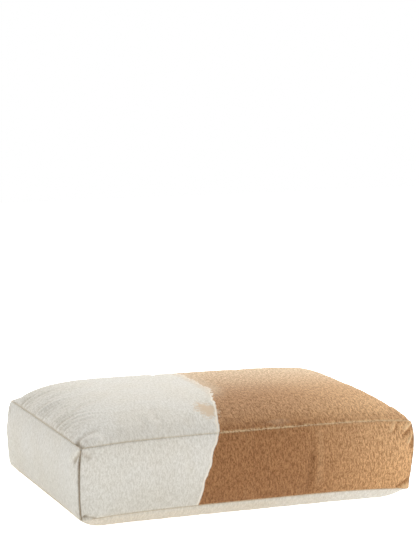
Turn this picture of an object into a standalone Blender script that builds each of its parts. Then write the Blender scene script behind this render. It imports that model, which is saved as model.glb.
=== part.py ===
"""Boxed floor cushion with a zipped cover and an inner pad, as separate pieces at real size.

The origin is the middle of the flat patch that the cushion rests on. X runs along the length, Y from the
front to the back, Z up. The cover is a top panel, a bottom panel and side walls that meet at seams; the back
wall is two strips with a zip between them. Every layer is worked out from the same outer surface, by its
depth under that surface.
"""

import math

import bmesh
import bpy

# Cushion, seam to seam
LENGTH = 1.000
WIDTH = 0.700
BOXING_HEIGHT = 0.205
SEAM_LIFT = 0.032
SEAM_BOW = 0.012
END_BOW = 0.002
CROWN = 0.070
SIDE_BULGE = 0.014
CORNER_LENGTH = 0.065
UNDERSIDE_ROLL = 0.090

# Cloth, thread and clearances
FABRIC = 0.0015
CASE_CLOTH = 0.0010
THREAD = 0.0012
GAP = 0.0004
LAYER_SLACK = 0.0020

# Inner pad: the foam core's distance from the wadding's sides, from the top seam and from the bottom seam
FOAM_MARGIN = 0.045
FOAM_DROP = 0.042
FOAM_RISE = 0.043
FOAM_EDGE = 0.012

# Zip
ZIP_SETBACK = 0.045
SLIDER_CLEARANCE = 0.0008
ZIP_END_TAPE = 0.012
TAPE_WIDTH = 0.014
TAPE_THICKNESS = 0.0006
COIL_WIDTH = 0.0022
COIL_THICKNESS = 0.0018
COIL_SPLIT = 0.0016
STOP_LENGTH = 0.003
STITCH_MARGIN = 0.0025
STITCH_SIZE = 0.0006

# Slider and pull
SLIDER_LENGTH = 0.0100
SLIDER_WIDTH = 0.0084
PLATE = 0.0009
BRIDGE_LENGTH = 0.0080
BRIDGE_WIDTH = 0.0018
BRIDGE_BAR = 0.0010
PULL_LENGTH = 0.030
PULL_WIDTH = 0.0070
PULL_THICKNESS = 0.0012
PULL_CLEARANCE = 0.0003
PULL_EYE_PLAY = 0.0007
PULL_SLOT_LENGTH = 0.010
METAL_BEVEL = 0.00025

# Care label
LABEL_WIDTH = 0.028
LABEL_LENGTH = 0.028
LABEL_THICKNESS = 0.0006
LABEL_SETBACK = 0.200

HALF_LENGTH = LENGTH / 2
HALF_WIDTH = WIDTH / 2
FOAM_BOTTOM = SEAM_LIFT + FOAM_RISE
FOAM_TOP = SEAM_LIFT + BOXING_HEIGHT - FOAM_DROP
ZIP_HEIGHT = SEAM_LIFT + SEAM_BOW + BOXING_HEIGHT / 2
ZIP_HALF = HALF_LENGTH - CORNER_LENGTH - ZIP_SETBACK
ZIP_OPENING = SLIDER_WIDTH + 2 * SLIDER_CLEARANCE
LABEL_X = HALF_LENGTH - LABEL_SETBACK

# Room for the pull: its square cross bar turns under the bridge, and its eye clears the bridge's corner
BRIDGE_SPACE = math.sqrt(2) * PULL_THICKNESS + 2 * PULL_CLEARANCE
PULL_EYE_WIDTH = BRIDGE_WIDTH + 2 * PULL_EYE_PLAY
PULL_EYE_LENGTH = math.hypot(BRIDGE_LENGTH / 2, BRIDGE_SPACE / 2 + BRIDGE_BAR) + PULL_EYE_PLAY

# Depths under the back wall's outer surface at the zip
TAPE_REACH = TAPE_WIDTH + COIL_SPLIT + SEAM_BOW / 2
TAPE_SAG = SIDE_BULGE * (1 - math.cos(math.pi * TAPE_REACH / BOXING_HEIGHT))
TAPE_FRONT = FABRIC + GAP + TAPE_SAG
TAPE_BACK = TAPE_FRONT + TAPE_THICKNESS
COIL_BACK = TAPE_FRONT - GAP
COIL_FRONT = COIL_BACK - COIL_THICKNESS
PLATE_INNER = COIL_FRONT - GAP
PLATE_OUTER = PLATE_INNER - PLATE
BACK_PLATE_INNER = TAPE_BACK + GAP
BACK_PLATE_OUTER = BACK_PLATE_INNER + PLATE
PAD_DEPTH = BACK_PLATE_OUTER + LAYER_SLACK
WADDING_DEPTH = PAD_DEPTH + CASE_CLOTH + LAYER_SLACK

FLAT_LENGTH_CELLS = 10
FLAT_WIDTH_CELLS = 6
ROLL_LINES = (0.0, 0.1, 0.3, 0.6, 1.0)
ZIP_CELLS = 12
WALL_CELLS = 5
BEYOND_ZIP = (0.4, 0.7, 1.0)

COLOURS = {
    "dyed_cotton": ((0.70, 0.56, 0.40), 0.95, 0.0),
    "undyed_cotton": ((0.83, 0.80, 0.73), 0.95, 0.0),
    "calico": ((0.86, 0.84, 0.78), 0.95, 0.0),
    "wadding": ((0.93, 0.93, 0.92), 1.0, 0.0),
    "foam": ((0.88, 0.84, 0.66), 0.95, 0.0),
    "thread": ((0.80, 0.72, 0.58), 0.8, 0.0),
    "zip_cloth": ((0.80, 0.77, 0.70), 0.9, 0.0),
    "zip_coil": ((0.78, 0.75, 0.68), 0.45, 0.0),
    "zip_metal": ((0.72, 0.62, 0.42), 0.35, 1.0),
    "label": ((0.92, 0.91, 0.88), 0.7, 0.0),
}


def clear_scene():
    """Removes what the scene starts with."""
    for thing in list(bpy.data.objects):
        bpy.data.objects.remove(thing, do_unlink=True)


def material(name, colour, roughness, metallic):
    """A Principled material of one piece."""
    made = bpy.data.materials.new(name)
    made.use_nodes = True
    shader = made.node_tree.nodes["Principled BSDF"]
    shader.inputs["Base Color"].default_value = (*colour, 1.0)
    shader.inputs["Roughness"].default_value = roughness
    shader.inputs["Metallic"].default_value = metallic
    made.diffuse_color = (*colour, 1.0)
    return made


def finish_object(name, bm, finish, parent=None):
    """Turns a bmesh into a named object with its own material, faces out."""
    bmesh.ops.recalc_face_normals(bm, faces=bm.faces)
    mesh = bpy.data.meshes.new(name)
    bm.to_mesh(mesh)
    bm.free()
    thing = bpy.data.objects.new(name, mesh)
    thing.data.materials.append(material(name, *COLOURS[finish]))
    thing.parent = parent
    bpy.context.scene.collection.objects.link(thing)
    mesh.shade_smooth()
    mesh.set_sharp_from_angle(angle=math.radians(35))
    return thing


# ---------------------------------------------------------------- the outer surface


def seam_height(x, y):
    """Height of the bottom seam: lowest at the corners, higher along each side by that side's bow."""
    u, v = x / HALF_LENGTH, y / HALF_WIDTH
    return SEAM_LIFT + SEAM_BOW * (1 - u**4) + END_BOW * (1 - v**4)


def top_height(x, y):
    """The top panel: the seam's height plus a broad crown that dies away at the seams."""
    u, v = abs(x) / HALF_LENGTH, abs(y) / HALF_WIDTH
    return seam_height(x, y) + BOXING_HEIGHT + CROWN * (1 - u**7) * (1 - v**4)


def underside_rise(distance, half):
    """0 on the flat patch, 1 at the seam, rising with the cube of the way across the roll."""
    start = half - UNDERSIDE_ROLL
    return min(1.0, max(0.0, abs(distance) - start) / UNDERSIDE_ROLL) ** 3


def bottom_height(x, y):
    """The bottom panel: flat in the middle, rolling up to the bottom seam."""
    flat = (1 - underside_rise(x, HALF_LENGTH)) * (1 - underside_rise(y, HALF_WIDTH))
    return seam_height(x, y) * (1 - flat)


def bulge(along, half, x, y, z):
    """How far a wall stands out: a half sine up the wall, full along the side and nothing at the corners."""
    share = min(1.0, max(0.0, (half - abs(along)) / CORNER_LENGTH))
    ease = share * share * (3 - 2 * share)
    up = (z - seam_height(x, y)) / BOXING_HEIGHT
    return SIDE_BULGE * ease * math.sin(math.pi * min(1.0, max(0.0, up)))


def spread(cells, reach):
    """Grid lines from -reach to reach, closer together towards the ends, where the cloth turns."""
    return [reach * math.sin(math.pi / 2 * (2 * i / cells - 1)) for i in range(cells + 1)]


def grid_lines(half, flat_cells, inset=0.0):
    """Lines across the cushion: close together over each roll and even over the flat patch between them.
    The patch's edges are lines, so that the cushion stands on its whole patch."""
    flat = half - UNDERSIDE_ROLL
    ends = [half - share * UNDERSIDE_ROLL for share in ROLL_LINES[:-1]]
    even = [flat * (2 * i / flat_cells - 1) for i in range(flat_cells + 1)]
    scale = (half - inset) / half
    return [scale * place for place in [-end for end in ends] + even + ends[::-1]]


def length_lines(inset=0.0):
    return grid_lines(HALF_LENGTH, FLAT_LENGTH_CELLS, inset)


def width_lines(inset=0.0):
    return grid_lines(HALF_WIDTH, FLAT_WIDTH_CELLS, inset)


# ---------------------------------------------------------------- kinds of solid


def split(bm, a, b, c, d):
    """A four-sided face as two triangles that meet along a to c. A layer's two faces are split the same way,
    so that they keep their distance where the face is twisted."""
    bm.faces.new((a, b, c))
    bm.faces.new((a, c, d))


def sheet_solid(rows, columns, first, second):
    """A closed solid between two faces, each a function of a row value and a column value."""
    bm = bmesh.new()
    last_row, last_column = len(rows) - 1, len(columns) - 1
    sides = [[[bm.verts.new(face(r, c)) for c in columns] for r in rows] for face in (first, second)]
    for side in sides:
        for i in range(last_row):
            for j in range(last_column):
                split(bm, side[i][j], side[i + 1][j], side[i + 1][j + 1], side[i][j + 1])
    near, far = sides
    for i in range(last_row):
        for j in (0, last_column):
            bm.faces.new((near[i][j], near[i + 1][j], far[i + 1][j], far[i][j]))
    for j in range(last_column):
        for i in (0, last_row):
            bm.faces.new((near[i][j], near[i][j + 1], far[i][j + 1], far[i][j]))
    return bm


def level_layer(name, finish, inset, upper, lower):
    """A layer that lies flat: its two faces are heights over one rectangle, inset from the seams."""
    xs, ys = length_lines(inset), width_lines(inset)
    bm = sheet_solid(xs, ys, lambda x, y: (x, y, upper(x, y)), lambda x, y: (x, y, lower(x, y)))
    return finish_object(name, bm, finish)


def long_wall(name, finish, side, xs, low, high):
    """A front or back wall of the cover, between two heights that may change along it."""
    steps = [i / WALL_CELLS for i in range(WALL_CELLS + 1)]

    def face(depth):
        def point(x, share):
            z = low(x) + (high(x) - low(x)) * share
            out = HALF_WIDTH + bulge(x, HALF_LENGTH, x, side * HALF_WIDTH, z)
            return (x, side * (out - depth), z)

        return point

    return finish_object(name, sheet_solid(xs, steps, face(0.0), face(FABRIC)), finish)


def short_wall(name, finish, side):
    """A left or right wall of the cover, fitted between the front and back walls."""
    ys = width_lines(FABRIC + GAP)
    steps = [i / WALL_CELLS for i in range(WALL_CELLS + 1)]
    x = side * HALF_LENGTH

    def face(depth):
        def point(y, share):
            z = wall_low(x, y) + (wall_high(x, y) - wall_low(x, y)) * share
            return (side * (HALF_LENGTH + bulge(y, HALF_WIDTH, x, y, z) - depth), y, z)

        return point

    return finish_object(name, sheet_solid(ys, steps, face(0.0), face(FABRIC)), finish)


def wall_low(x, y):
    """Lower edge of a wall: just above the bottom panel's edge."""
    return seam_height(x, y) + FABRIC + GAP


def wall_high(x, y):
    """Upper edge of a wall: just under the top panel's edge."""
    return seam_height(x, y) + BOXING_HEIGHT - FABRIC - GAP


def ring(name, finish, profile):
    """A closed band round the cushion. The profile is a loop of (depth under the wall, height, share of the
    wall's bulge) points."""
    xs = [x / HALF_LENGTH for x in length_lines()]
    ys = [y / HALF_WIDTH for y in width_lines()]
    stations = [(u, -1) for u in xs[:-1]] + [(1, v) for v in ys[:-1]]
    stations += [(-u, 1) for u in xs[:-1]] + [(-1, -v) for v in ys[:-1]]
    bm = bmesh.new()
    loops = []
    for u, v in stations:
        x, y = u * HALF_LENGTH, v * HALF_WIDTH
        loop = []
        for depth, height, follow in profile:
            inset_x, inset_y = x - u * depth, y - v * depth
            z = height(inset_x, inset_y)
            on_long = abs(v) == 1
            along, half = (x, HALF_LENGTH) if on_long else (y, HALF_WIDTH)
            out = follow * bulge(along, half, x, y, z)
            move_x, move_y = (0, v * out) if on_long else (u * out, 0)
            loop.append(bm.verts.new((inset_x + move_x, inset_y + move_y, z)))
        loops.append(loop)
    count = len(profile)
    for i, loop in enumerate(loops):
        after = loops[(i + 1) % len(loops)]
        for j in range(count):
            k = (j + 1) % count
            low, high = (j, k) if loop[j].co.z < loop[k].co.z else (k, j)
            split(bm, loop[low], after[low], after[high], loop[high])
    return finish_object(name, bm, finish)


def block(name, finish, low, high, parent=None, origin=(0.0, 0.0, 0.0)):
    """A box between two corners, with its object's origin where it is told."""
    bm = bmesh.new()
    bmesh.ops.create_cube(bm, size=1.0)
    for vert in bm.verts:
        place = [a + (b - a) * (c + 0.5) for a, b, c in zip(low, high, vert.co)]
        vert.co = [p - o for p, o in zip(place, origin)]
    return finish_object(name, bm, finish, parent)


def cutter(name, low, high, parent, origin):
    """A box that another piece takes in by a Boolean, and that isn't a piece itself."""
    tool = block(name, "zip_metal", low, high, parent, origin)
    tool.hide_render = True
    tool.display_type = "WIRE"
    return tool


def boolean(thing, tool, operation):
    """Joins or cuts with the exact solver."""
    modifier = thing.modifiers.new(tool.name, "BOOLEAN")
    modifier.operation = operation
    modifier.solver = "EXACT"
    modifier.object = tool


def bevel(thing, width, angle=40.0):
    """Rounds the sharp edges."""
    modifier = thing.modifiers.new("edges", "BEVEL")
    modifier.width = width
    modifier.segments = 1
    modifier.limit_method = "ANGLE"
    modifier.angle_limit = math.radians(angle)


# ---------------------------------------------------------------- cover


def make_top_panel():
    level_layer("top_panel", "dyed_cotton", 0.0, top_height, lambda x, y: top_height(x, y) - FABRIC)


def make_bottom_panel():
    level_layer(
        "bottom_panel", "undyed_cotton", 0.0, lambda x, y: bottom_height(x, y) + FABRIC, bottom_height
    )


def make_front_boxing():
    front = -HALF_WIDTH
    long_wall(
        "front_boxing",
        "dyed_cotton",
        -1,
        length_lines(),
        lambda x: wall_low(x, front),
        lambda x: wall_high(x, front),
    )


def make_end_boxings():
    short_wall("left_boxing", "undyed_cotton", -1)
    short_wall("right_boxing", "dyed_cotton", 1)


def zip_half_opening(x):
    """Half the height of the slit between the back strips: open along the zip, closed beyond it."""
    return ZIP_OPENING / 2 if abs(x) <= ZIP_HALF + GAP else GAP


def make_back_boxing():
    """Two strips: they part along the zip and meet edge to edge at its ends."""
    ends = [ZIP_HALF + GAP, ZIP_HALF + 2 * GAP]
    inner = spread(ZIP_CELLS, ZIP_HALF + GAP)[1:-1]
    outer = [ZIP_HALF + (HALF_LENGTH - ZIP_HALF) * share for share in BEYOND_ZIP]
    xs = sorted([-x for x in ends + outer] + inner + ends + outer)
    back = HALF_WIDTH
    long_wall(
        "back_boxing_lower",
        "dyed_cotton",
        1,
        xs,
        lambda x: wall_low(x, back),
        lambda x: ZIP_HEIGHT - zip_half_opening(x),
    )
    long_wall(
        "back_boxing_upper",
        "dyed_cotton",
        1,
        xs,
        lambda x: ZIP_HEIGHT + zip_half_opening(x),
        lambda x: wall_high(x, back),
    )


def make_seam_threads():
    """The lines of thread inside the seams: one round the top, one round the bottom, one up each corner."""
    near, far = FABRIC + GAP, FABRIC + GAP + THREAD
    for name, height, turn in (("top", wall_high, -1), ("bottom", wall_low, 1)):

        def inside(x, y, height=height, turn=turn):
            return height(x, y) + turn * THREAD

        loop = [(near, height, 1), (far, height, 1), (far, inside, 1), (near, inside, 1)]
        ring(f"{name}_seam_thread", "thread", loop)
    for name, side_x, side_y in (
        ("front_left", -1, -1),
        ("front_right", 1, -1),
        ("back_right", 1, 1),
        ("back_left", -1, 1),
    ):
        x_near, x_far = (side_x * (HALF_LENGTH - d) for d in (near, far))
        y_near, y_far = (side_y * (HALF_WIDTH - d) for d in (near, far))
        low = SEAM_LIFT + 2 * (FABRIC + THREAD) + 2 * GAP
        high = SEAM_LIFT + BOXING_HEIGHT - 2 * (FABRIC + THREAD) - 2 * GAP
        block(
            f"{name}_corner_thread",
            "thread",
            (min(x_near, x_far), min(y_near, y_far), low),
            (max(x_near, x_far), max(y_near, y_far), high),
        )


def make_care_label():
    """A blank label that hangs from the back bottom seam."""
    top = seam_height(LABEL_X, HALF_WIDTH) + FABRIC
    half = LABEL_WIDTH / 2
    block(
        "care_label",
        "label",
        (LABEL_X - half, HALF_WIDTH + GAP, top - LABEL_LENGTH),
        (LABEL_X + half, HALF_WIDTH + GAP + LABEL_THICKNESS, top),
    )


# ---------------------------------------------------------------- zip


def back_level(depth):
    """Y of something at a depth under the back wall's outer surface at the zip."""
    return HALF_WIDTH + SIDE_BULGE - depth


def make_zip_band():
    """Tapes, coils, stops and topstitching, in an upper and a lower half."""
    end = ZIP_HALF + ZIP_END_TAPE
    run = ZIP_HALF - STOP_LENGTH - GAP
    for half, turn in (("lower", -1), ("upper", 1)):

        def band(name, finish, reach, deep, shallow, near, far, turn=turn):
            heights = sorted((ZIP_HEIGHT + turn * near, ZIP_HEIGHT + turn * far))
            block(
                name,
                finish,
                (-reach, back_level(deep), heights[0]),
                (reach, back_level(shallow), heights[1]),
            )

        near = COIL_SPLIT / 2
        band(f"zip_tape_{half}", "zip_cloth", end, TAPE_BACK, TAPE_FRONT, near, near + TAPE_WIDTH)
        band(f"zip_coil_{half}", "zip_coil", run, COIL_BACK, COIL_FRONT, near, near + COIL_WIDTH)
        stitch = ZIP_OPENING / 2 + STITCH_MARGIN
        band(
            f"zip_topstitch_{half}",
            "thread",
            end,
            -GAP,
            -GAP - STITCH_SIZE,
            stitch,
            stitch + STITCH_SIZE,
        )
    reach = COIL_SPLIT / 2 + COIL_WIDTH
    for end_name, turn in (("left", -1), ("right", 1)):
        places = sorted((turn * (ZIP_HALF - STOP_LENGTH), turn * ZIP_HALF))
        block(
            f"zip_stop_{end_name}",
            "zip_metal",
            (places[0], back_level(COIL_BACK), ZIP_HEIGHT - reach),
            (places[1], back_level(COIL_FRONT), ZIP_HEIGHT + reach),
        )


def make_slider():
    """Two plates round the coils, a web in the slit between them and a bridge for the pull."""
    half_length, half_width = SLIDER_LENGTH / 2, SLIDER_WIDTH / 2
    home = (ZIP_HALF - STOP_LENGTH - GAP - half_length, back_level(PLATE_OUTER), ZIP_HEIGHT)
    empty = bpy.data.objects.new("slider_frame", None)
    empty.location = home
    bpy.context.scene.collection.objects.link(empty)

    def box(deep, shallow, half_x, half_z):
        low = (home[0] - half_x, back_level(deep), ZIP_HEIGHT - half_z)
        high = (home[0] + half_x, back_level(shallow), ZIP_HEIGHT + half_z)
        return low, high

    low, high = box(PLATE_INNER, PLATE_OUTER, half_length, half_width)
    slider = block("zip_slider", "zip_metal", low, high, empty, home)
    web_half = COIL_SPLIT / 2 - GAP
    rise = PLATE_OUTER - BRIDGE_SPACE - BRIDGE_BAR
    leg = BRIDGE_LENGTH / 2 - BRIDGE_BAR
    parts = (
        ("slider_back_plate", box(BACK_PLATE_OUTER, BACK_PLATE_INNER, half_length, half_width), "UNION"),
        (
            "slider_web",
            box(BACK_PLATE_INNER + PLATE / 2, PLATE_INNER - PLATE / 2, half_length / 2, web_half),
            "UNION",
        ),
        (
            "slider_bridge",
            box(PLATE_OUTER + PLATE / 2, rise, BRIDGE_LENGTH / 2, BRIDGE_WIDTH / 2),
            "UNION",
        ),
        ("slider_arch", box(PLATE_OUTER, PLATE_OUTER - BRIDGE_SPACE, leg, BRIDGE_WIDTH), "DIFFERENCE"),
    )
    for name, (corner, opposite), operation in parts:
        boolean(slider, cutter(name, corner, opposite, empty, home), operation)
    bevel(slider, METAL_BEVEL)
    return home


def make_pull(home):
    """A flat tab whose eye goes round the bridge; its cross bar turns in the space under the bridge."""
    pivot = (home[0], home[1] + BRIDGE_SPACE / 2, home[2])
    empty = bpy.data.objects.new("pull_frame", None)
    empty.location = pivot
    bpy.context.scene.collection.objects.link(empty)
    half = PULL_THICKNESS / 2

    def box(start, end, half_z, thick):
        low = (pivot[0] - end, pivot[1] - thick, pivot[2] - half_z)
        high = (pivot[0] - start, pivot[1] + thick, pivot[2] + half_z)
        return low, high

    low, high = box(-half, PULL_LENGTH - half, PULL_WIDTH / 2, half)
    pull = block("zip_pull", "zip_metal", low, high, empty, pivot)
    slot_end = PULL_LENGTH - half - PULL_EYE_WIDTH / 2
    holes = (
        ("pull_eye", box(half, half + PULL_EYE_LENGTH, PULL_EYE_WIDTH / 2, PULL_WIDTH)),
        ("pull_slot", box(slot_end - PULL_SLOT_LENGTH, slot_end, PULL_EYE_WIDTH / 2, PULL_WIDTH)),
    )
    for name, (corner, opposite) in holes:
        boolean(pull, cutter(name, corner, opposite, empty, pivot), "DIFFERENCE")
    bevel(pull, METAL_BEVEL)


# ---------------------------------------------------------------- inner pad


def make_pad_case():
    """The calico case: top, bottom and a side band."""
    inner = PAD_DEPTH + CASE_CLOTH
    level_layer(
        "pad_case_top",
        "calico",
        PAD_DEPTH,
        lambda x, y: top_height(x, y) - PAD_DEPTH,
        lambda x, y: top_height(x, y) - inner,
    )
    level_layer(
        "pad_case_bottom",
        "calico",
        PAD_DEPTH,
        lambda x, y: bottom_height(x, y) + inner,
        lambda x, y: bottom_height(x, y) + PAD_DEPTH,
    )
    margin = inner + GAP

    def height(share):
        def at(x, y):
            low = seam_height(x, y) + margin
            return low + (BOXING_HEIGHT - 2 * margin) * share

        return at

    shares = [i / WALL_CELLS for i in range(WALL_CELLS + 1)]
    profile = [(PAD_DEPTH, height(s), 1) for s in shares]
    profile += [(inner, height(s), 1) for s in reversed(shares)]
    ring("pad_case_band", "calico", profile)


def make_filling():
    """Foam core with fibre wadding over it, under it and round it."""
    level_layer(
        "wadding_top",
        "wadding",
        WADDING_DEPTH,
        lambda x, y: top_height(x, y) - WADDING_DEPTH,
        lambda x, y: FOAM_TOP + GAP,
    )
    level_layer(
        "wadding_bottom",
        "wadding",
        WADDING_DEPTH,
        lambda x, y: FOAM_BOTTOM - GAP,
        lambda x, y: bottom_height(x, y) + WADDING_DEPTH,
    )
    foam_margin = WADDING_DEPTH + FOAM_MARGIN

    def height(share):
        return lambda x, y: FOAM_BOTTOM + (FOAM_TOP - FOAM_BOTTOM) * share

    shares = [i / WALL_CELLS for i in range(WALL_CELLS + 1)]
    profile = [(WADDING_DEPTH, height(s), 1) for s in shares]
    profile += [(foam_margin, height(1), 0), (foam_margin, height(0), 0)]
    ring("wadding_band", "wadding", profile)
    reach = foam_margin + LAYER_SLACK
    core = block(
        "foam_core",
        "foam",
        (reach - HALF_LENGTH, reach - HALF_WIDTH, FOAM_BOTTOM),
        (HALF_LENGTH - reach, HALF_WIDTH - reach, FOAM_TOP),
    )
    bevel(core, FOAM_EDGE)


def main():
    clear_scene()
    make_top_panel()
    make_bottom_panel()
    make_front_boxing()
    make_end_boxings()
    make_back_boxing()
    make_seam_threads()
    make_care_label()
    make_zip_band()
    make_pull(make_slider())
    make_pad_case()
    make_filling()


if __name__ == "__main__":
    main()
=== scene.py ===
"""Looks of the boxed floor cushion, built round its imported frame.

The cover's seven panels, its stitching, zip, label and the pad inside it are surfaces worked out with numpy.
A cloth simulation gives the wrinkles, and the panels take them from it. Everything is in metres, in the
frame's own axes: X along the length, Y from the front to the back, Z up.
"""

import math
from typing import NamedTuple

import bpy
import numpy as np
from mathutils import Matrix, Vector


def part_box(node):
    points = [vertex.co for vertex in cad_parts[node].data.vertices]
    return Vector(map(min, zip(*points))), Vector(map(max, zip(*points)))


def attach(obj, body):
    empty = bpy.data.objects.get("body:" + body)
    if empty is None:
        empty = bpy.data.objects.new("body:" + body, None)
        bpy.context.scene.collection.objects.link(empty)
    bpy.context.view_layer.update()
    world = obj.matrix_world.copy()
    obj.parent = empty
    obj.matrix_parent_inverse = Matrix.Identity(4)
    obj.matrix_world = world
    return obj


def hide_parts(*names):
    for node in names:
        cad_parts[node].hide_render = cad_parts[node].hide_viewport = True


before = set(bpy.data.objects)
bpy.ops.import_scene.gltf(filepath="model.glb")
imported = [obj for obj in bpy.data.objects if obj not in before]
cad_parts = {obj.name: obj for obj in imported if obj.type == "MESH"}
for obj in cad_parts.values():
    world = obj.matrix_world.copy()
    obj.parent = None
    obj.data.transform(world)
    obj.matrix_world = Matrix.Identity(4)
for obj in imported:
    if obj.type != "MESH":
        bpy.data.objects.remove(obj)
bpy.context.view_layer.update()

bl_info = {
    "name": "Floor cushion",
    "version": (1, 0, 0),
    "blender": (4, 5, 0),
    "location": "3D View > Sidebar > Cushion",
    "description": "Builds the cover, stitching, zip and pad of a boxed floor cushion",
    "category": "Object",
}

BODY = "cushion"

# ---------------------------------------------------------------- the cushion's outer surface

HALF_LENGTH, HALF_WIDTH = (round(value, 4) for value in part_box("top_panel")[1][:2])
SEAM_LIFT = 0.032
SEAM_BOW = 0.012
END_BOW = 0.002
BOXING_HEIGHT = 0.205
CROWN = 0.0645
CROWN_FULLNESS = 0.8
CROWN_TILT = 0.10
CROWN_POWER_RIGHT, CROWN_POWER_LEFT, CROWN_POWER_ACROSS = 11, 8, 4
SIDE_BULGE = 0.014
SIDE_FULLNESS = 0.75
CORNER_LENGTH = 0.065
CORNER_BULGE = 0.011
CORNER_FULLNESS = 0.55
CORNER_SPREAD = 0.085
RIGHT_CORNER_FOOT, RIGHT_CORNER_LEAN = 0.05, 1.55
UNDERSIDE_ROLL = 0.090

# Zip, placed by the frame's own zip nodes
ZIP_LOW, ZIP_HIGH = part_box("zip_coil_lower"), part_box("zip_coil_upper")
ZIP_HEIGHT = (ZIP_LOW[0].z + ZIP_HIGH[1].z) / 2
ZIP_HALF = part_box("zip_stop_right")[1].x
ZIP_OPENING = 0.010
ZIP_TRANSITION = 0.008
CLOSED_SLIT = 0.0004
ZIP_CALM = 0.030

# Cloth and seams
CLOTH = 0.0012
ALLOWANCE_ROWS = (0.002, 0.005, 0.008)
SEAM_DEPTH = 0.0022
SEAM_WIDTH = 0.0034
CORNER_SEAM_DEPTH = 0.0065
CORNER_SEAM_WIDTH = 0.0040
SEAM_LINE_WIDTH = 0.0026
# Width of the painted shade in the slots of the upright corners
SLOT_SHADE_WIDTH = 0.0042
ON_EDGE = 1e-6
GATHER_START = 0.005
GATHER_ENDS = 0.05
# Fold depth at which the painted shade of folds is full, and ridge height at which their painted highlight is
# full
HOLLOW_DEPTH = 0.0050
SHADED_WRINKLES = 0.30
EDGE_CRUMPLE = 0.25
CRUMPLE_BLEND = 0.050
FINE_STEP = 0.0011
STEP_GROWTH = 1.22
MOST_STEPS = 400


def smooth(value):
    """Eases from 0 to 1 as the value goes from 0 to 1: three squares less two cubes."""
    share = np.clip(value, 0.0, 1.0)
    return share * share * (3 - 2 * share)


def seam_height(x, y):
    """Height of the bottom seam: its lift, and a bow that is larger along the long sides."""
    bow = SEAM_BOW * (1 - (x / HALF_LENGTH) ** 4)
    return SEAM_LIFT + bow + END_BOW * (1 - (y / HALF_WIDTH) ** 4)


def top_height(x, y):
    """Height of the top panel: the top seam's height plus a broad crown that dies away at the seams. It is a
    little higher to the left and squarer to the right."""
    u, v = np.abs(x) / HALF_LENGTH, np.abs(y) / HALF_WIDTH
    along = 1 - np.where(x > 0, u**CROWN_POWER_RIGHT, u**CROWN_POWER_LEFT)
    spread = np.clip(along * (1 - v**CROWN_POWER_ACROSS), 0, 1) ** CROWN_FULLNESS
    return seam_height(x, y) + BOXING_HEIGHT + CROWN * (1 - CROWN_TILT * x / HALF_LENGTH) * spread


def bottom_height(x, y):
    """Height of the bottom panel: a flat patch that rolls up to the seam with the cube of the distance."""
    rises = []
    for place, half in ((x, HALF_LENGTH), (y, HALF_WIDTH)):
        rises.append(np.clip(1 + (np.abs(place) - half) / UNDERSIDE_ROLL, 0, 1) ** 3)
    return seam_height(x, y) * (1 - (1 - rises[0]) * (1 - rises[1]))


def level_skin(height, x, y):
    """A panel that lies flat: its height over each point of the plan."""
    return np.stack([x, y, height(x, y)], axis=-1)


def corner_bulge(share, right):
    """How far an upright corner stands out at a share of the wall's height: a full arch on the left, and one
    that is fullest near the top on the right."""
    arch = np.sin(np.pi * np.clip(share, 0.0, 1.0)) ** CORNER_FULLNESS
    return CORNER_BULGE * arch * np.where(right, RIGHT_CORNER_FOOT + RIGHT_CORNER_LEAN * share, 1.0)


def wall_skin(long, side, along, share):
    """A wall at a share of its height between its seams. Along its middle it stands out by a full arch up the
    wall, and at its ends by the corners' bulge, which moves them both ways."""
    half, across = (HALF_LENGTH, HALF_WIDTH) if long else (HALF_WIDTH, HALF_LENGTH)
    x, y = (along, side * across) if long else (side * across, along)
    height = seam_height(x, y) + BOXING_HEIGHT * share
    arch = np.sin(np.pi * np.clip(share, 0, 1))
    from_corner = half - np.abs(along)
    corner = corner_bulge(share, x > 0) * smooth(1 - from_corner / CORNER_SPREAD)
    bulge = SIDE_BULGE * arch**SIDE_FULLNESS * smooth(from_corner / CORNER_LENGTH)
    out = side * (across + bulge + corner)
    moved = along + np.sign(along) * corner
    places = (moved, out) if long else (out, moved)
    return np.stack([places[0] + 0 * height, places[1] + 0 * height, height], axis=-1)


def zip_gap(x):
    """Half the slit between the two back strips: open along the zip and closed beyond it."""
    shut = smooth((np.abs(x) - ZIP_HALF) / ZIP_TRANSITION)
    return ZIP_OPENING / 2 + (CLOSED_SLIT / 2 - ZIP_OPENING / 2) * shut


def strip_share(lower, x, v):
    """Share of the back wall's height at v, from 0 to 1 over one strip."""
    base = seam_height(x, HALF_WIDTH)
    if lower:
        return v * (ZIP_HEIGHT - zip_gap(x) - base) / BOXING_HEIGHT
    return 1 - (1 - v) * (base + BOXING_HEIGHT - ZIP_HEIGHT - zip_gap(x)) / BOXING_HEIGHT


def bisector(*parts):
    """A unit vector into the cushion between two panels."""
    return np.array(parts, float) / math.sqrt(2)


INWARD = {
    "top_front": bisector(0, 1, -1),
    "top_back": bisector(0, -1, -1),
    "top_left": bisector(1, 0, -1),
    "top_right": bisector(-1, 0, -1),
    "bottom_front": bisector(0, 1, 1),
    "bottom_back": bisector(0, -1, 1),
    "bottom_left": bisector(1, 0, 1),
    "bottom_right": bisector(-1, 0, 1),
    "front_left": bisector(1, 1, 0),
    "front_right": bisector(-1, 1, 0),
    "back_left": bisector(1, -1, 0),
    "back_right": bisector(-1, -1, 0),
}
UPRIGHT = ("front_left", "front_right", "back_left", "back_right")


class Fold(NamedTuple):
    """A ridge, or a crease where the height is below 0, along a line on a panel."""

    start: tuple
    end: tuple
    width: float
    height: float


class Gather(NamedTuple):
    """Small gathers that run from one edge of a panel into it: their pitch, reach, height, slant (how far
    they lean along the edge for each metre in) and the length of edge between two places."""

    edge: str
    first: float
    last: float
    pitch: float
    reach: float
    height: float
    slant: float


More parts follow.
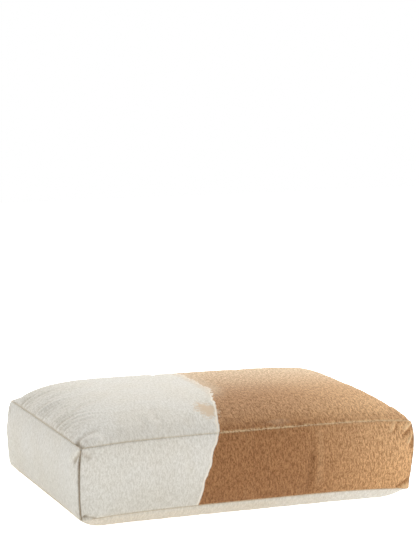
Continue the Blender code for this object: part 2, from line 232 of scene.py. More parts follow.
class Panel(NamedTuple):
    """One piece of the cover: half sizes, its skin as a function of u and v in metres from its middle, the
    seams on its four edges (None where there is none), whether its grid faces inward, the spacing of its
    grid, its cloth, its flat size, the share of the simulated wrinkles that it keeps, and its relief."""

    name: str
    nodes: tuple
    half_u: float
    half_v: float
    skin: object
    seams: dict
    turned: bool
    coarse: float
    finish: str
    cut: tuple
    crumple: float
    folds: tuple = ()
    gathers: tuple = ()


def seam_set(low_u, high_u, low_v, high_v):
    """The seams on the four edges of a panel."""
    return {"low_u": low_u, "high_u": high_u, "low_v": low_v, "high_v": high_v}


HALF_BOXING = BOXING_HEIGHT / 2
STRIP_HALF = (ZIP_HEIGHT - ZIP_OPENING / 2 - SEAM_LIFT - SEAM_BOW) / 2
SEAM_CUT = 2 * ALLOWANCE_ROWS[-1]
CROWN_CUT = 0.022
LENGTH_CUT = 2 * HALF_LENGTH + SEAM_CUT
WIDTH_CUT = 2 * HALF_WIDTH + SEAM_CUT
HEIGHT_CUT = BOXING_HEIGHT + SEAM_CUT

TOP_FOLDS = (
    Fold((-0.480, -0.328), (-0.444, -0.333), 0.013, 0.0105),
    Fold((-0.492, -0.300), (-0.440, -0.296), 0.009, -0.0026),
    Fold((-0.497, -0.300), (-0.492, -0.343), 0.006, -0.0085),
    Fold((0.482, -0.334), (0.452, -0.300), 0.010, -0.0030),
    Fold((0.493, -0.325), (0.475, -0.285), 0.009, 0.0035),
    Fold((0.485, 0.330), (0.440, 0.300), 0.012, -0.0025),
    Fold((-0.485, 0.335), (-0.450, 0.305), 0.010, -0.0020),
)
TOP_GATHERS = (
    Gather("low_u", -0.29, 0.30, 0.027, 0.052, 0.0042, -0.75),
    Gather("high_u", -0.30, 0.30, 0.030, 0.040, 0.0024, 0.40),
    Gather("low_v", -0.46, 0.46, 0.017, 0.016, 0.0006, 0.10),
    Gather("high_v", -0.46, 0.46, 0.021, 0.025, 0.0009, -0.10),
)
FRONT_FOLDS = (
    Fold((0.189, 0.060), (0.184, 0.010), 0.013, -0.0016),
    Fold((0.185, 0.010), (0.173, -0.084), 0.011, -0.0032),
    Fold((0.208, 0.075), (0.203, -0.060), 0.014, 0.0008),
    Fold((0.496, 0.092), (0.466, 0.060), 0.0050, -0.0062),
    Fold((0.498, 0.084), (0.486, 0.026), 0.0055, -0.0058),
    Fold((0.497, 0.098), (0.470, 0.078), 0.0060, 0.0060),
    Fold((0.497, 0.078), (0.477, 0.040), 0.0050, 0.0055),
    Fold((0.454, 0.098), (0.440, 0.070), 0.0050, -0.0030),
    Fold((0.446, 0.098), (0.432, 0.072), 0.0050, 0.0030),
    Fold((-0.497, 0.092), (-0.472, 0.074), 0.006, -0.0030),
    Fold((-0.494, 0.070), (-0.480, 0.040), 0.008, 0.0020),
    Fold((-0.491, -0.099), (-0.474, -0.100), 0.006, 0.0055),
    Fold((-0.498, -0.0935), (-0.486, -0.0890), 0.0036, -0.0050),
    Fold((-0.486, -0.0890), (-0.461, -0.0985), 0.0036, -0.0045),
    Fold((0.494, -0.094), (0.476, -0.090), 0.0065, 0.0065),
    Fold((0.486, -0.076), (0.458, -0.096), 0.0045, -0.0055),
)
LEFT_FOLDS = (
    Fold((-0.345, 0.094), (-0.318, 0.062), 0.0068, -0.0058),
    Fold((-0.330, 0.096), (-0.296, 0.066), 0.0100, 0.0040),
    Fold((-0.346, 0.060), (-0.332, 0.010), 0.0080, 0.0020),
    Fold((0.342, 0.090), (0.315, 0.070), 0.0070, -0.0020),
    Fold((-0.342, -0.090), (-0.322, -0.080), 0.0060, -0.0025),
)
RIGHT_FOLDS = (
    Fold((-0.345, 0.092), (-0.320, 0.060), 0.0060, -0.0028),
    Fold((-0.346, 0.080), (-0.330, 0.030), 0.0060, -0.0022),
    Fold((0.342, 0.088), (0.312, 0.060), 0.0080, -0.0024),
)


def wall_gathers(height):
    """Gathers under the top seam and over the bottom seam of a wall."""
    return (
        Gather("high_v", -0.45, 0.45, 0.019, 0.020, height, 0.05),
        Gather("low_v", -0.45, 0.45, 0.023, 0.022, height, -0.05),
    )


PANELS = (
    Panel(
        "cover_top",
        ("top_panel",),
        HALF_LENGTH,
        HALF_WIDTH,
        lambda u, v: level_skin(top_height, u, v),
        seam_set("top_left", "top_right", "top_front", "top_back"),
        False,
        0.0044,
        "dyed_cotton",
        (LENGTH_CUT + CROWN_CUT, WIDTH_CUT + CROWN_CUT),
        0.65,
        TOP_FOLDS,
        TOP_GATHERS,
    ),
    Panel(
        "cover_bottom",
        ("bottom_panel",),
        HALF_LENGTH,
        HALF_WIDTH,
        lambda u, v: level_skin(bottom_height, u, v),
        seam_set("bottom_left", "bottom_right", "bottom_front", "bottom_back"),
        True,
        0.0060,
        "undyed_cotton",
        (LENGTH_CUT, WIDTH_CUT),
        0.25,
    ),
    Panel(
        "cover_front",
        ("front_boxing",),
        HALF_LENGTH,
        HALF_BOXING,
        lambda u, v: wall_skin(True, -1, u, v / BOXING_HEIGHT + 0.5),
        seam_set("front_left", "front_right", "bottom_front", "top_front"),
        False,
        0.0032,
        "dyed_cotton",
        (LENGTH_CUT, HEIGHT_CUT),
        0.22,
        FRONT_FOLDS,
        wall_gathers(0.0007),
    ),
    Panel(
        "cover_left",
        ("left_boxing",),
        HALF_WIDTH,
        HALF_BOXING,
        lambda u, v: wall_skin(False, -1, u, v / BOXING_HEIGHT + 0.5),
        seam_set("front_left", "back_left", "bottom_left", "top_left"),
        True,
        0.0032,
        "undyed_cotton",
        (WIDTH_CUT, HEIGHT_CUT),
        0.14,
        LEFT_FOLDS,
        wall_gathers(0.0008),
    ),
    Panel(
        "cover_right",
        ("right_boxing",),
        HALF_WIDTH,
        HALF_BOXING,
        lambda u, v: wall_skin(False, 1, u, v / BOXING_HEIGHT + 0.5),
        seam_set("front_right", "back_right", "bottom_right", "top_right"),
        False,
        0.0032,
        "dyed_cotton",
        (WIDTH_CUT, HEIGHT_CUT),
        0.30,
        RIGHT_FOLDS,
        wall_gathers(0.0008),
    ),
    Panel(
        "cover_back_lower",
        ("back_boxing_lower",),
        HALF_LENGTH,
        STRIP_HALF,
        lambda u, v: wall_skin(True, 1, u, strip_share(True, u, v / STRIP_HALF / 2 + 0.5)),
        seam_set("back_left", "back_right", "bottom_back", None),
        True,
        0.0040,
        "dyed_cotton",
        (LENGTH_CUT, 2 * STRIP_HALF + SEAM_CUT),
        0.40,
    ),
    Panel(
        "cover_back_upper",
        ("back_boxing_upper",),
        HALF_LENGTH,
        STRIP_HALF,
        lambda u, v: wall_skin(True, 1, u, strip_share(False, u, v / STRIP_HALF / 2 + 0.5)),
        seam_set("back_left", "back_right", None, "top_back"),
        True,
        0.0040,
        "dyed_cotton",
        (LENGTH_CUT, 2 * STRIP_HALF + SEAM_CUT),
        0.40,
    ),
)

# ---------------------------------------------------------------- meshes from arrays


def grid_faces(rows, columns, turned=False, close_rows=False, close_columns=False):
    """Quads of a grid of points, as an array of four indices each."""
    index = np.arange(rows * columns).reshape(rows, columns)
    if close_rows:
        index = np.vstack([index, index[:1]])
    if close_columns:
        index = np.hstack([index, index[:, :1]])
    corners = [index[:-1, :-1], index[1:, :-1], index[1:, 1:], index[:-1, 1:]]
    faces = np.stack([corner.ravel() for corner in corners], axis=1)
    return faces[:, ::-1] if turned else faces


def mesh_object(name, points, faces, finish, uv=None, attributes=None):
    """A mesh piece from arrays: its points, quads, material, and what the material reads at each point."""
    mesh = bpy.data.meshes.new(name)
    points = np.asarray(points, float).reshape(-1, 3)
    corners = np.ascontiguousarray(faces, dtype=np.int32)
    mesh.vertices.add(len(points))
    mesh.vertices.foreach_set("co", points.astype(np.float32).ravel())
    mesh.loops.add(corners.size)
    mesh.loops.foreach_set("vertex_index", corners.ravel())
    mesh.polygons.add(len(corners))
    mesh.polygons.foreach_set("loop_start", np.arange(0, corners.size, corners.shape[1], dtype=np.int32))
    mesh.update(calc_edges=True)
    if uv is not None:
        layer = mesh.uv_layers.new(name="Cloth")
        layer.data.foreach_set("uv", np.asarray(uv, np.float32).reshape(-1, 2)[corners.ravel()].ravel())
    for label, values in (attributes or {}).items():
        made = mesh.attributes.new(label, "FLOAT", "POINT")
        made.data.foreach_set("value", np.asarray(values, np.float32).ravel())
    mesh.validate()
    mesh.shade_smooth()
    piece = bpy.data.objects.new(name, mesh)
    piece.data.materials.append(material(finish))
    bpy.context.scene.collection.objects.link(piece)
    return piece


def ride_for(piece, slot, *nodes):
    """The piece rides on the cushion and stands for these CAD nodes, which are hidden. The slot is not used.
    """
    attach(piece, BODY)
    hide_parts(*nodes)
    return piece


def thicken(piece, thickness):
    """Gives a sheet its wall, inward from the face that shows."""
    modifier = piece.modifiers.new("thickness", "SOLIDIFY")
    modifier.thickness = thickness
    modifier.offset = -1.0
    modifier.use_even_offset = False


def unit(vectors):
    """Vectors scaled to length 1."""
    return vectors / np.maximum(np.linalg.norm(vectors, axis=-1, keepdims=True), 1e-12)


def grid_normals(points, turned):
    """Normals of a grid surface: the cross product of its two directions."""
    normal = unit(np.cross(np.gradient(points, axis=0), np.gradient(points, axis=1)))
    return -normal if turned else normal


def cubic_weights(cells, places):
    """Matrix that reads a row of evenly spaced values at any places, from 0 to the number of cells, along a
    smooth cubic through the four nearest values."""
    start = np.clip(np.floor(places).astype(int), 0, cells - 1)
    t = (places - start)[:, None]
    weights = 0.5 * np.hstack(
        [-t + 2 * t**2 - t**3, 2 - 5 * t**2 + 3 * t**3, t + 4 * t**2 - 3 * t**3, t**3 - t**2]
    )
    matrix = np.zeros((len(places), cells + 1))
    for k in range(4):
        columns = np.clip(start + k - 1, 0, cells)
        np.add.at(matrix, (np.arange(len(places)), columns), weights[:, k])
    return matrix


# ---------------------------------------------------------------- wrinkles from a cloth simulation

LATTICE_STEP = 0.0100
SIMULATED_FRAMES = 22
PRESSURE = 4.0
SLACK_IN_PANELS = -0.035
TAKEN_UP_AT_SEAMS = 0.020
SMOOTHING_PASSES = 70


def lattice_cells():
    """Cells of the lattice along, across and up: each size over the lattice's step, rounded."""
    sizes = (2 * HALF_LENGTH, 2 * HALF_WIDTH, BOXING_HEIGHT)
    return [int(round(size / LATTICE_STEP)) for size in sizes]


def lattice_slices(index):
    """The six sides of the lattice, by panel: its indices as a grid of u by v."""
    return {
        "cover_top": index[:, :, -1],
        "cover_bottom": index[:, :, 0],
        "cover_front": index[:, 0, :],
        "cover_back": index[:, -1, :],
        "cover_left": index[0, :, :],
        "cover_right": index[-1, :, :],
    }


def lattice_mesh():
    """The closed lattice over the cushion's skin: point numbers by side, points, faces and seam points."""
    cells = lattice_cells()
    grids = np.meshgrid(*(np.arange(count + 1) for count in cells), indexing="ij")
    ends = [(grid == 0) | (grid == count) for grid, count in zip(grids, cells)]
    shell = ends[0] | ends[1] | ends[2]
    index = np.full(shell.shape, -1)
    index[shell] = np.arange(shell.sum())
    sides = lattice_slices(index)
    points = np.zeros((int(shell.sum()), 3))
    faces = []
    skins = {panel.name: panel for panel in PANELS if panel.name in sides}
    for name, numbers in sides.items():
        rows, columns = numbers.shape
        u = np.linspace(-1, 1, rows)[:, None]
        v = np.linspace(-1, 1, columns)[None, :]
        if name == "cover_back":
            points[numbers] = wall_skin(True, 1, HALF_LENGTH * u + 0 * v, (v + 1) / 2 + 0 * u)
            turned = True
        else:
            panel = skins[name]
            points[numbers] = panel.skin(panel.half_u * u + 0 * v, panel.half_v * v + 0 * u)
            turned = panel.turned
        faces.append(numbers.ravel()[grid_faces(rows, columns, turned)])
    seams = (ends[0].astype(int) + ends[1] + ends[2])[shell] >= 2
    return sides, points, np.vstack(faces), seams


def graph_smooth(values, edges, passes):
    """Moves every value towards the mean of its neighbours, again and again."""
    count = len(values)
    first, last = np.concatenate([edges, edges[:, ::-1]]).T
    neighbours = np.bincount(first, minlength=count)[:, None]
    smoothed = values.copy()
    for _ in range(passes):
        sums = [np.bincount(first, weights=smoothed[last, axis], minlength=count) for axis in range(3)]
        smoothed = 0.5 * smoothed + 0.5 * np.stack(sums, axis=1) / neighbours
    return smoothed


def simulated_wrinkles(cap):
    """The wrinkles of each side, as grids of vectors: what a cloth simulation moves the lattice, less its
    broad part, and held under a cap."""
    sides, points, faces, seams = lattice_mesh()
    trial = mesh_object("trial_cloth", points, faces, "undyed_cotton")
    group = trial.vertex_groups.new(name="seams")
    group.add([int(number) for number in np.flatnonzero(seams)], 1.0, "REPLACE")
    modifier = trial.modifiers.new("cloth", "CLOTH")
    cloth = modifier.settings
    cloth.quality = 6
    cloth.mass = 0.25
    cloth.tension_stiffness = cloth.compression_stiffness = 20.0
    cloth.shear_stiffness = 8.0
    cloth.bending_stiffness = 0.15
    cloth.use_pressure = True
    cloth.uniform_pressure_force = PRESSURE
    cloth.vertex_group_shrink = "seams"
    cloth.shrink_min = SLACK_IN_PANELS
    cloth.shrink_max = TAKEN_UP_AT_SEAMS
    cloth.effector_weights.gravity = 0.0
    modifier.collision_settings.use_collision = False
    modifier.point_cache.frame_start = 1
    modifier.point_cache.frame_end = SIMULATED_FRAMES
    scene = bpy.context.scene
    for number in range(1, SIMULATED_FRAMES + 1):
        scene.frame_set(number)
    result = trial.evaluated_get(bpy.context.evaluated_depsgraph_get()).to_mesh()
    moved = np.empty(len(points) * 3, np.float32)
    result.vertices.foreach_get("co", moved)
    edges = np.empty(len(trial.data.edges) * 2, np.int32)
    trial.data.edges.foreach_get("vertices", edges)
    mesh = trial.data
    bpy.data.objects.remove(trial)
    bpy.data.meshes.remove(mesh)
    scene.frame_set(1)
    shift = moved.reshape(-1, 3).astype(float) - points
    wrinkles = shift - graph_smooth(shift, edges.reshape(-1, 2), SMOOTHING_PASSES)
    size = np.linalg.norm(wrinkles, axis=1, keepdims=True)
    if not np.isfinite(size).all():
        raise RuntimeError("the cloth simulation gave no usable result")
    wrinkles *= cap / (cap + size)
    return {name: wrinkles[numbers] for name, numbers in sides.items()}


# ---------------------------------------------------------------- cover panels


def stations(half, coarse, rows_low, rows_high):
    """Places across a panel, close together at its edges and coarser in the middle, then rows of seam
    allowance beyond each edge that has a seam. Returns the places and how far beyond the edge each one is."""
    steps = np.minimum(FINE_STEP * STEP_GROWTH ** np.arange(MOST_STEPS), coarse)
    near = np.concatenate([[0.0], np.cumsum(steps)])
    near = near[near < half]
    near *= half / near[-1]
    inner = np.concatenate([near - half, half - near[-2::-1]])
    low = -np.array(rows_low[::-1])
    high = np.array(rows_high)
    places = np.concatenate([np.full(len(low), -half), inner, np.full(len(high), half)])
    return places, np.concatenate([low, np.zeros(len(inner)), high])


def seam_shape(seam):
    """(depth, width) of the groove at a seam."""
    if seam in UPRIGHT:
        return CORNER_SEAM_DEPTH, CORNER_SEAM_WIDTH
    return SEAM_DEPTH, SEAM_WIDTH


def third_seams(seams):
    """At each corner of a panel, the seam between its two neighbours there. Three panels meet at a corner of
    the cushion, so three seams do, and the panel's own edges are the other two."""
    level = all(name and name.startswith(("top", "bottom")) for name in seams.values())
    found = {}
    for end_u in ("low_u", "high_u"):
        for end_v in ("low_v", "high_v"):
            first, second = seams[end_u], seams[end_v]
            if not first or not second:
                continue
            if level:
                found[end_u, end_v] = f"{second.split('_')[1]}_{first.split('_')[1]}"
            else:
                layer, face = second.split("_")
                other = [part for part in first.split("_") if part != face][0]
                found[end_u, end_v] = f"{layer}_{other}"
    return found


def gather_relief(gather, along, into):
    """Waves along an edge whose crests lean by the slant: they start at nothing on the seam, are highest a
    few millimetres in and fade with the reach. Slow waves vary their pitch and height."""
    place = along - gather.slant * into
    turn = 2 * np.pi * place / gather.pitch
    wander = 1.4 * np.sin(turn / 4.3 + 7 * gather.first) + 0.8 * np.sin(turn / 2.6 + 11 * gather.pitch)
    vary = 0.62 + 0.38 * np.sin(turn / 6.7 + 3 * gather.reach / gather.pitch)
    ends = smooth((along - gather.first) / GATHER_ENDS) * smooth((gather.last - along) / GATHER_ENDS)
    rise = 1 - np.exp(-into / GATHER_START)
    return gather.height * vary * ends * rise * np.exp(-into / gather.reach) * np.sin(turn + wander)


def fold_relief(fold, u, v):
    """A bell-shaped ridge or crease by the distance from a line between two places."""
    start, end = np.array(fold.start), np.array(fold.end)
    line = end - start
    share = ((u - start[0]) * line[0] + (v - start[1]) * line[1]) / (line @ line)
    share = np.clip(share, 0, 1)
    away = np.hypot(u - start[0] - share * line[0], v - start[1] - share * line[1])
    return fold.height * np.exp(-((away / fold.width) ** 2))


def edge_distances(panel, u, v):
    """Distance of every point from each of the panel's four edges."""
    return {
        "low_u": u + panel.half_u,
        "high_u": panel.half_u - u,
        "low_v": v + panel.half_v,
        "high_v": panel.half_v - v,
    }


def panel_wrinkles(panel, wrinkles, u, v):
    """The simulated wrinkles at the panel's own places. The back strips share the back wall's, which fade
    out near the zip."""
    if panel.name in wrinkles:
        grid = wrinkles[panel.name]
        share_v = v / panel.half_v / 2 + 0.5
        calm = 1.0
    else:
        grid = wrinkles["cover_back"]
        lower = panel.name.endswith("lower")
        share_v = strip_share(lower, 0.0, v / panel.half_v / 2 + 0.5)
        height = seam_height(0.0, HALF_WIDTH) + BOXING_HEIGHT * share_v
        calm = smooth((np.abs(height - ZIP_HEIGHT) - ZIP_CALM) / ZIP_CALM)[None, :, None]
    cells_u, cells_v = grid.shape[0] - 1, grid.shape[1] - 1
    rows = cubic_weights(cells_u, (u / panel.half_u / 2 + 0.5) * cells_u)
    columns = cubic_weights(cells_v, share_v * cells_v)
    return np.einsum("ia,jb,abk->ijk", rows, columns, grid, optimize=True) * calm


def panel_surface(panel, wrinkles, gathering):
    """A panel's points, UV map and the values its material reads (the seam's line, and masks of painted shade
    and painted highlights): the skin, plus the simulated wrinkles, plus folds and gathers along the normal,
    plus grooves towards the seams, plus the seam allowances turned in."""
    seams = panel.seams
    rows = {edge: ALLOWANCE_ROWS if seams[edge] else () for edge in seams}
    u_line, u_over = stations(panel.half_u, panel.coarse, rows["low_u"], rows["high_u"])
    v_line, v_over = stations(panel.half_v, panel.coarse, rows["low_v"], rows["high_v"])
    u, v = np.meshgrid(u_line, v_line, indexing="ij")
    skin = panel.skin(u, v)
    distances = edge_distances(panel, u, v)
    flat_rows, flat_columns = np.flatnonzero(u_over == 0), np.flatnonzero(v_over == 0)
    smooth_part = skin[np.ix_(flat_rows, flat_columns)]
    normals = np.zeros_like(skin)
    normals[np.ix_(flat_rows, flat_columns)] = grid_normals(smooth_part, panel.turned)
    row_source = np.clip(np.arange(len(u_line)), flat_rows[0], flat_rows[-1])
    column_source = np.clip(np.arange(len(v_line)), flat_columns[0], flat_columns[-1])
    normals = normals[np.ix_(row_source, column_source)]
    relief = sum((fold_relief(fold, u, v) for fold in panel.folds), np.zeros_like(u))
    for gather in panel.gathers:
        along = v if gather.edge.endswith("u") else u
        relief += gathering * gather_relief(gather, along, distances[gather.edge])
    to_edge = np.minimum.reduce([away for edge, away in distances.items() if seams[edge]])
    kept = EDGE_CRUMPLE + (panel.crumple - EDGE_CRUMPLE) * smooth(to_edge / CRUMPLE_BLEND)
    shift = panel_wrinkles(panel, wrinkles, u_line, v_line) * kept[..., None]
    points = skin + shift + normals * relief[..., None]
    # Mask of painted shade in folds and in the valleys of the simulated wrinkles
    sunk = relief + SHADED_WRINKLES * (shift * normals).sum(axis=-1)
    hollow_shade = np.clip(-sunk / HOLLOW_DEPTH, 0.0, 1.0)
    # Mask of painted highlights on the ridges of folds
    raised_highlight = np.clip(relief / HOLLOW_DEPTH, 0.0, 1.0)
    seam_value, slot_shade_value = np.zeros_like(u), np.zeros_like(u)
    for edge, seam in seams.items():
        if not seam:
            continue
        depth, width = seam_shape(seam)
        groove = np.exp(-((distances[edge] / width) ** 2))
        points += depth * groove[..., None] * INWARD[seam]
        over = np.abs(u_over)[:, None] + 0 * v if edge.endswith("u") else np.abs(v_over)[None, :] + 0 * u
        on_edge = distances[edge] < ON_EDGE
        points += (over * on_edge)[..., None] * INWARD[seam]
        # The upright corners get a mask of painted shade in their slots; the other seams get a mask for their
        # line
        if seam in UPRIGHT:
            slot_shade_value = np.maximum(slot_shade_value, np.exp(-((distances[edge] / SLOT_SHADE_WIDTH) ** 2)))
        else:
            seam_value = np.maximum(seam_value, np.exp(-((distances[edge] / SEAM_LINE_WIDTH) ** 2)))
    for (end_u, end_v), seam in third_seams(seams).items():
        depth, width = seam_shape(seam)
        corner = np.exp(-((distances[end_u] ** 2 + distances[end_v] ** 2) / width**2))
        points += depth * corner[..., None] * INWARD[seam]
    points[..., 2] = np.maximum(points[..., 2], 0.0)
    uv = np.stack([u + u_over[:, None], v + v_over[None, :]], axis=-1)
    return points, uv, {"seam": seam_value, "slot": slot_shade_value, "hollow_shade": hollow_shade, "raised_highlight": raised_highlight}


def make_cover(settings):
    """All the panels of the cover, from one simulation."""
    wrinkles = simulated_wrinkles(settings.wrinkle_cap)
    for panel in PANELS:
        points, uv, values = panel_surface(panel, wrinkles, settings.gathering)
        rows, columns = points.shape[:2]
        piece = mesh_object(
            panel.name, points, grid_faces(rows, columns, panel.turned), panel.finish, uv, values
        )
        thicken(piece, CLOTH)
        ride_for(piece, panel.finish, *panel.nodes)


# ---------------------------------------------------------------- stitching

STITCH_LENGTH = 0.0036
STITCH_PITCH = 0.0044
STITCH_RADIUS = 0.00055
STITCH_RINGS = 5
STITCH_SIDES = 6
END_NARROWING = 0.02
LEVEL_THREAD_SINK = 0.75
UPRIGHT_THREAD_SINK = 0.85
LEVEL_END_GAP = 0.006
UPRIGHT_END_SHARE = 0.03
LEVEL_PATH_POINTS = 400
UPRIGHT_PATH_POINTS = 200


def rod_faces(rings, sides):
    """Quads round a rod that is made of rings with an even number of points, and quads that close its
    ends."""
    caps = np.array([(0, k, k + 1, k + 2) for k in range(1, sides - 2, 2)])
    last = sides * (rings - 1)
    return np.vstack([grid_faces(rings, sides, turned=True, close_columns=True), caps[:, ::-1], caps + last])


def stitches(path, side):
    """Stitches along a path of points: each is a short closed rod with narrowed ends, one pitch from the
    next. The side is a vector across the path. Returns points and faces."""
    steps = np.linalg.norm(np.diff(path, axis=0), axis=1)
    run = np.concatenate([[0.0], np.cumsum(steps)])
    centres = np.arange(STITCH_PITCH / 2, run[-1], STITCH_PITCH)

    def at(places):
        """Points on the path at these distances along it."""
        return np.stack([np.interp(places, run, path[:, axis]) for axis in range(3)], axis=1)

    middle = at(centres)
    tangent = unit(at(centres + STITCH_PITCH / 4) - at(centres - STITCH_PITCH / 4))
    first = unit(np.cross(tangent, np.broadcast_to(side, tangent.shape)))
    second = np.cross(tangent, first)
    slide = np.linspace(-1, 1, STITCH_RINGS)
    swell = STITCH_RADIUS * np.sqrt(np.maximum(1 - slide**4, END_NARROWING))
    angle = np.linspace(0, 2 * np.pi, STITCH_SIDES, endpoint=False)
    points = (
        middle[:, None, None]
        + tangent[:, None, None] * (slide * STITCH_LENGTH / 2)[None, :, None, None]
        + first[:, None, None] * (swell[:, None] * np.cos(angle))[None, ..., None]
        + second[:, None, None] * (swell[:, None] * np.sin(angle))[None, ..., None]
    )
    one = rod_faces(STITCH_RINGS, STITCH_SIDES)
    count = STITCH_RINGS * STITCH_SIDES
    faces = (one[None] + count * np.arange(len(centres))[:, None, None]).reshape(-1, 4)
    return points.reshape(-1, 3), faces


def seam_path(seam, sunk):
    """The line of a seam, sunk towards the inside of the cushion."""
    layer, face = seam.split("_")
    if seam in UPRIGHT:
        side = -1 if layer == "front" else 1
        along = np.full(UPRIGHT_PATH_POINTS, -HALF_LENGTH if face == "left" else HALF_LENGTH)
        share = np.linspace(UPRIGHT_END_SHARE, 1 - UPRIGHT_END_SHARE, UPRIGHT_PATH_POINTS)
        return wall_skin(True, side, along, share) + sunk * INWARD[seam]
    long = face in ("front", "back")
    half = (HALF_LENGTH if long else HALF_WIDTH) - LEVEL_END_GAP
    side = -1 if face in ("front", "left") else 1
    share = np.full(LEVEL_PATH_POINTS, 1.0 if layer == "top" else 0.0)
    return wall_skin(long, side, half * np.linspace(-1, 1, LEVEL_PATH_POINTS), share) + sunk * INWARD[seam]


def make_stitching():
    """A row of stitches at the bottom of every seam's groove."""
    for layer in ("top", "bottom"):
        points, faces, start = [], [], 0
        for face in ("front", "back", "left", "right"):
            seam = f"{layer}_{face}"
            row, quads = stitches(seam_path(seam, SEAM_DEPTH * LEVEL_THREAD_SINK), INWARD[seam])
            points.append(row)
            faces.append(quads + start)
            start += len(row)
        piece = mesh_object(f"{layer}_stitches", np.vstack(points), np.vstack(faces), "thread")
        ride_for(piece, "thread", f"{layer}_seam_thread")
    for corner in UPRIGHT:
        row, quads = stitches(seam_path(corner, CORNER_SEAM_DEPTH * UPRIGHT_THREAD_SINK), INWARD[corner])
        piece = mesh_object(f"{corner}_stitches", row, quads, "thread")
        ride_for(piece, "thread", f"{corner}_corner_thread")


# ---------------------------------------------------------------- zip and label

COIL_PITCH = 0.0016
COIL_WIRE = 0.00034
COIL_TURN_POINTS = 10
COIL_SIDES = 6
TAPE_THICKNESS = 0.0005
TAPE_CELLS = (260, 13)
TAPE_INSET = 0.00008
TAPE_RIPPLE = 0.00006
TOPSTITCH_LIFT = 0.35
LABEL_THICKNESS = 0.0004
LABEL_CELLS = 25
LABEL_CURL = 0.0032
LABEL_RIPPLE = 0.0006


def box_of(node):
    """The low and high corners of a CAD node, as arrays."""
    low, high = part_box(node)
    return np.array(low), np.array(high)


def tube(path, radius, sides, across):
    """A round tube along a path; across is a vector that is never in line with it."""
    tangent = unit(np.gradient(path, axis=0))
    first = unit(np.cross(tangent, np.broadcast_to(across, tangent.shape)))
    second = np.cross(tangent, first)
    angle = np.linspace(0, 2 * np.pi, sides, endpoint=False)
    ring = first[:, None] * np.cos(angle)[None, :, None] + second[:, None] * np.sin(angle)[None, :, None]
    return path[:, None] + radius * ring


def make_coil(half):
    """One side of the zip: a coil of stiff wire wound round an oval, one turn to each tooth."""
    low, high = box_of(f"zip_coil_{half}")
    centre, reach = (low + high) / 2, (high - low) / 2
    turns = (high[0] - low[0] - 2 * COIL_WIRE) / COIL_PITCH
    phase = 0.0 if half == "lower" else np.pi
    angle = np.linspace(0, 2 * np.pi * turns, int(turns * COIL_TURN_POINTS))
    path = np.stack(
        [
            np.linspace(low[0] + COIL_WIRE, high[0] - COIL_WIRE, len(angle)),
            centre[1] + (reach[1] - COIL_WIRE) * np.cos(angle + phase),
            centre[2] + (reach[2] - COIL_WIRE) * np.sin(angle + phase),
        ],
        axis=1,
    )
    points = tube(path, COIL_WIRE, COIL_SIDES, (1.0, 0.0, 0.0))
    faces = rod_faces(len(path), COIL_SIDES)
    ride_for(mesh_object(f"{half}_coil", points, faces, "zip_coil"), "zip_coil", f"zip_coil_{half}")


def make_tape(half):
    """One woven tape: a flat band with a slight ripple, a sine of its length and its width."""
    low, high = box_of(f"zip_tape_{half}")
    u = np.linspace(low[0], high[0], TAPE_CELLS[0])
    v = np.linspace(low[2], high[2], TAPE_CELLS[1])
    x, z = np.meshgrid(u, v, indexing="ij")
    ripple = TAPE_RIPPLE * np.sin(2 * np.pi * x / 0.031 + 5 * z / 0.014)
    points = np.stack([x, high[1] - TAPE_INSET + ripple, z], axis=-1)
    uv = np.stack([x, z], axis=-1)
    piece = mesh_object(f"{half}_tape", points, grid_faces(*TAPE_CELLS, turned=True), "zip_cloth", uv)
    thicken(piece, TAPE_THICKNESS)
    ride_for(piece, "zip_cloth", f"zip_tape_{half}")


def make_topstitching(half):
    """The row of stitches that holds the tape to the back strip, just off the slit's edge."""
    low, high = box_of(f"zip_topstitch_{half}")
    height = (low[2] + high[2]) / 2
    x = np.linspace(low[0], high[0], 500)
    share = (height - seam_height(x, HALF_WIDTH)) / BOXING_HEIGHT
    path = wall_skin(True, 1, x, share)
    path[:, 1] += STITCH_RADIUS * TOPSTITCH_LIFT
    row, quads = stitches(path, (0.0, 1.0, 0.0))
    piece = mesh_object(f"{half}_topstitches", row, quads, "thread")
    ride_for(piece, "thread", f"zip_topstitch_{half}")


def make_zip():
    """Coils, tapes and topstitching; the slider, pull and stops keep their CAD shapes in brass."""
    for half in ("lower", "upper"):
        make_coil(half)
        make_tape(half)
        make_topstitching(half)
    for node in ("zip_slider", "zip_pull", "zip_stop_left", "zip_stop_right"):
        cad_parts[node].data.materials.clear()
        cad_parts[node].data.materials.append(material("zip_metal"))


def make_label():
    """A blank woven label: a ribbon that hangs from the seam and curls outward with a power of the drop."""
    low, high = box_of("care_label")
    across, down = np.linspace(low[0], high[0], LABEL_CELLS), np.linspace(0, 1, LABEL_CELLS)
    x, share = np.meshgrid(across, down, indexing="ij")
    curl = LABEL_CURL * share**2.5 + LABEL_RIPPLE * np.sin(2 * np.pi * (x - low[0]) / 0.028) * share
    drop = high[2] - (high[2] - low[2]) * share * (1 - 0.01 * share)
    points = np.stack([x, high[1] + curl, drop], axis=-1)
    uv = np.stack([x, drop], axis=-1)
    piece = mesh_object("blank_label", points, grid_faces(LABEL_CELLS, LABEL_CELLS), "label", uv)
    thicken(piece, LABEL_THICKNESS)
    ride_for(piece, "label", "care_label")


# ---------------------------------------------------------------- pad inside the cover

PAD_DEPTH = 0.0140
CASE_CLOTH = 0.0009
CASE_CELLS = (90, 64)
CASE_SHARES = (0.07, 0.93)
CASE_ROWS = 18
BAND_COLUMNS = 240
BAND_SPACING = 0.014
QUILT_DEPTH = 0.0012
WADDING_GAP = 0.0030
WADDING_CELLS = (80, 56)
WADDING_ROWS = 12
TUFT_DEPTH = 0.0006
FOAM_GAP = 0.0008


def plan_grid(cells):
    """Places over the whole plan of the cushion, as a grid of two counts."""
    u = np.linspace(-HALF_LENGTH, HALF_LENGTH, cells[0])
    v = np.linspace(-HALF_WIDTH, HALF_WIDTH, cells[1])
    return np.meshgrid(u, v, indexing="ij")


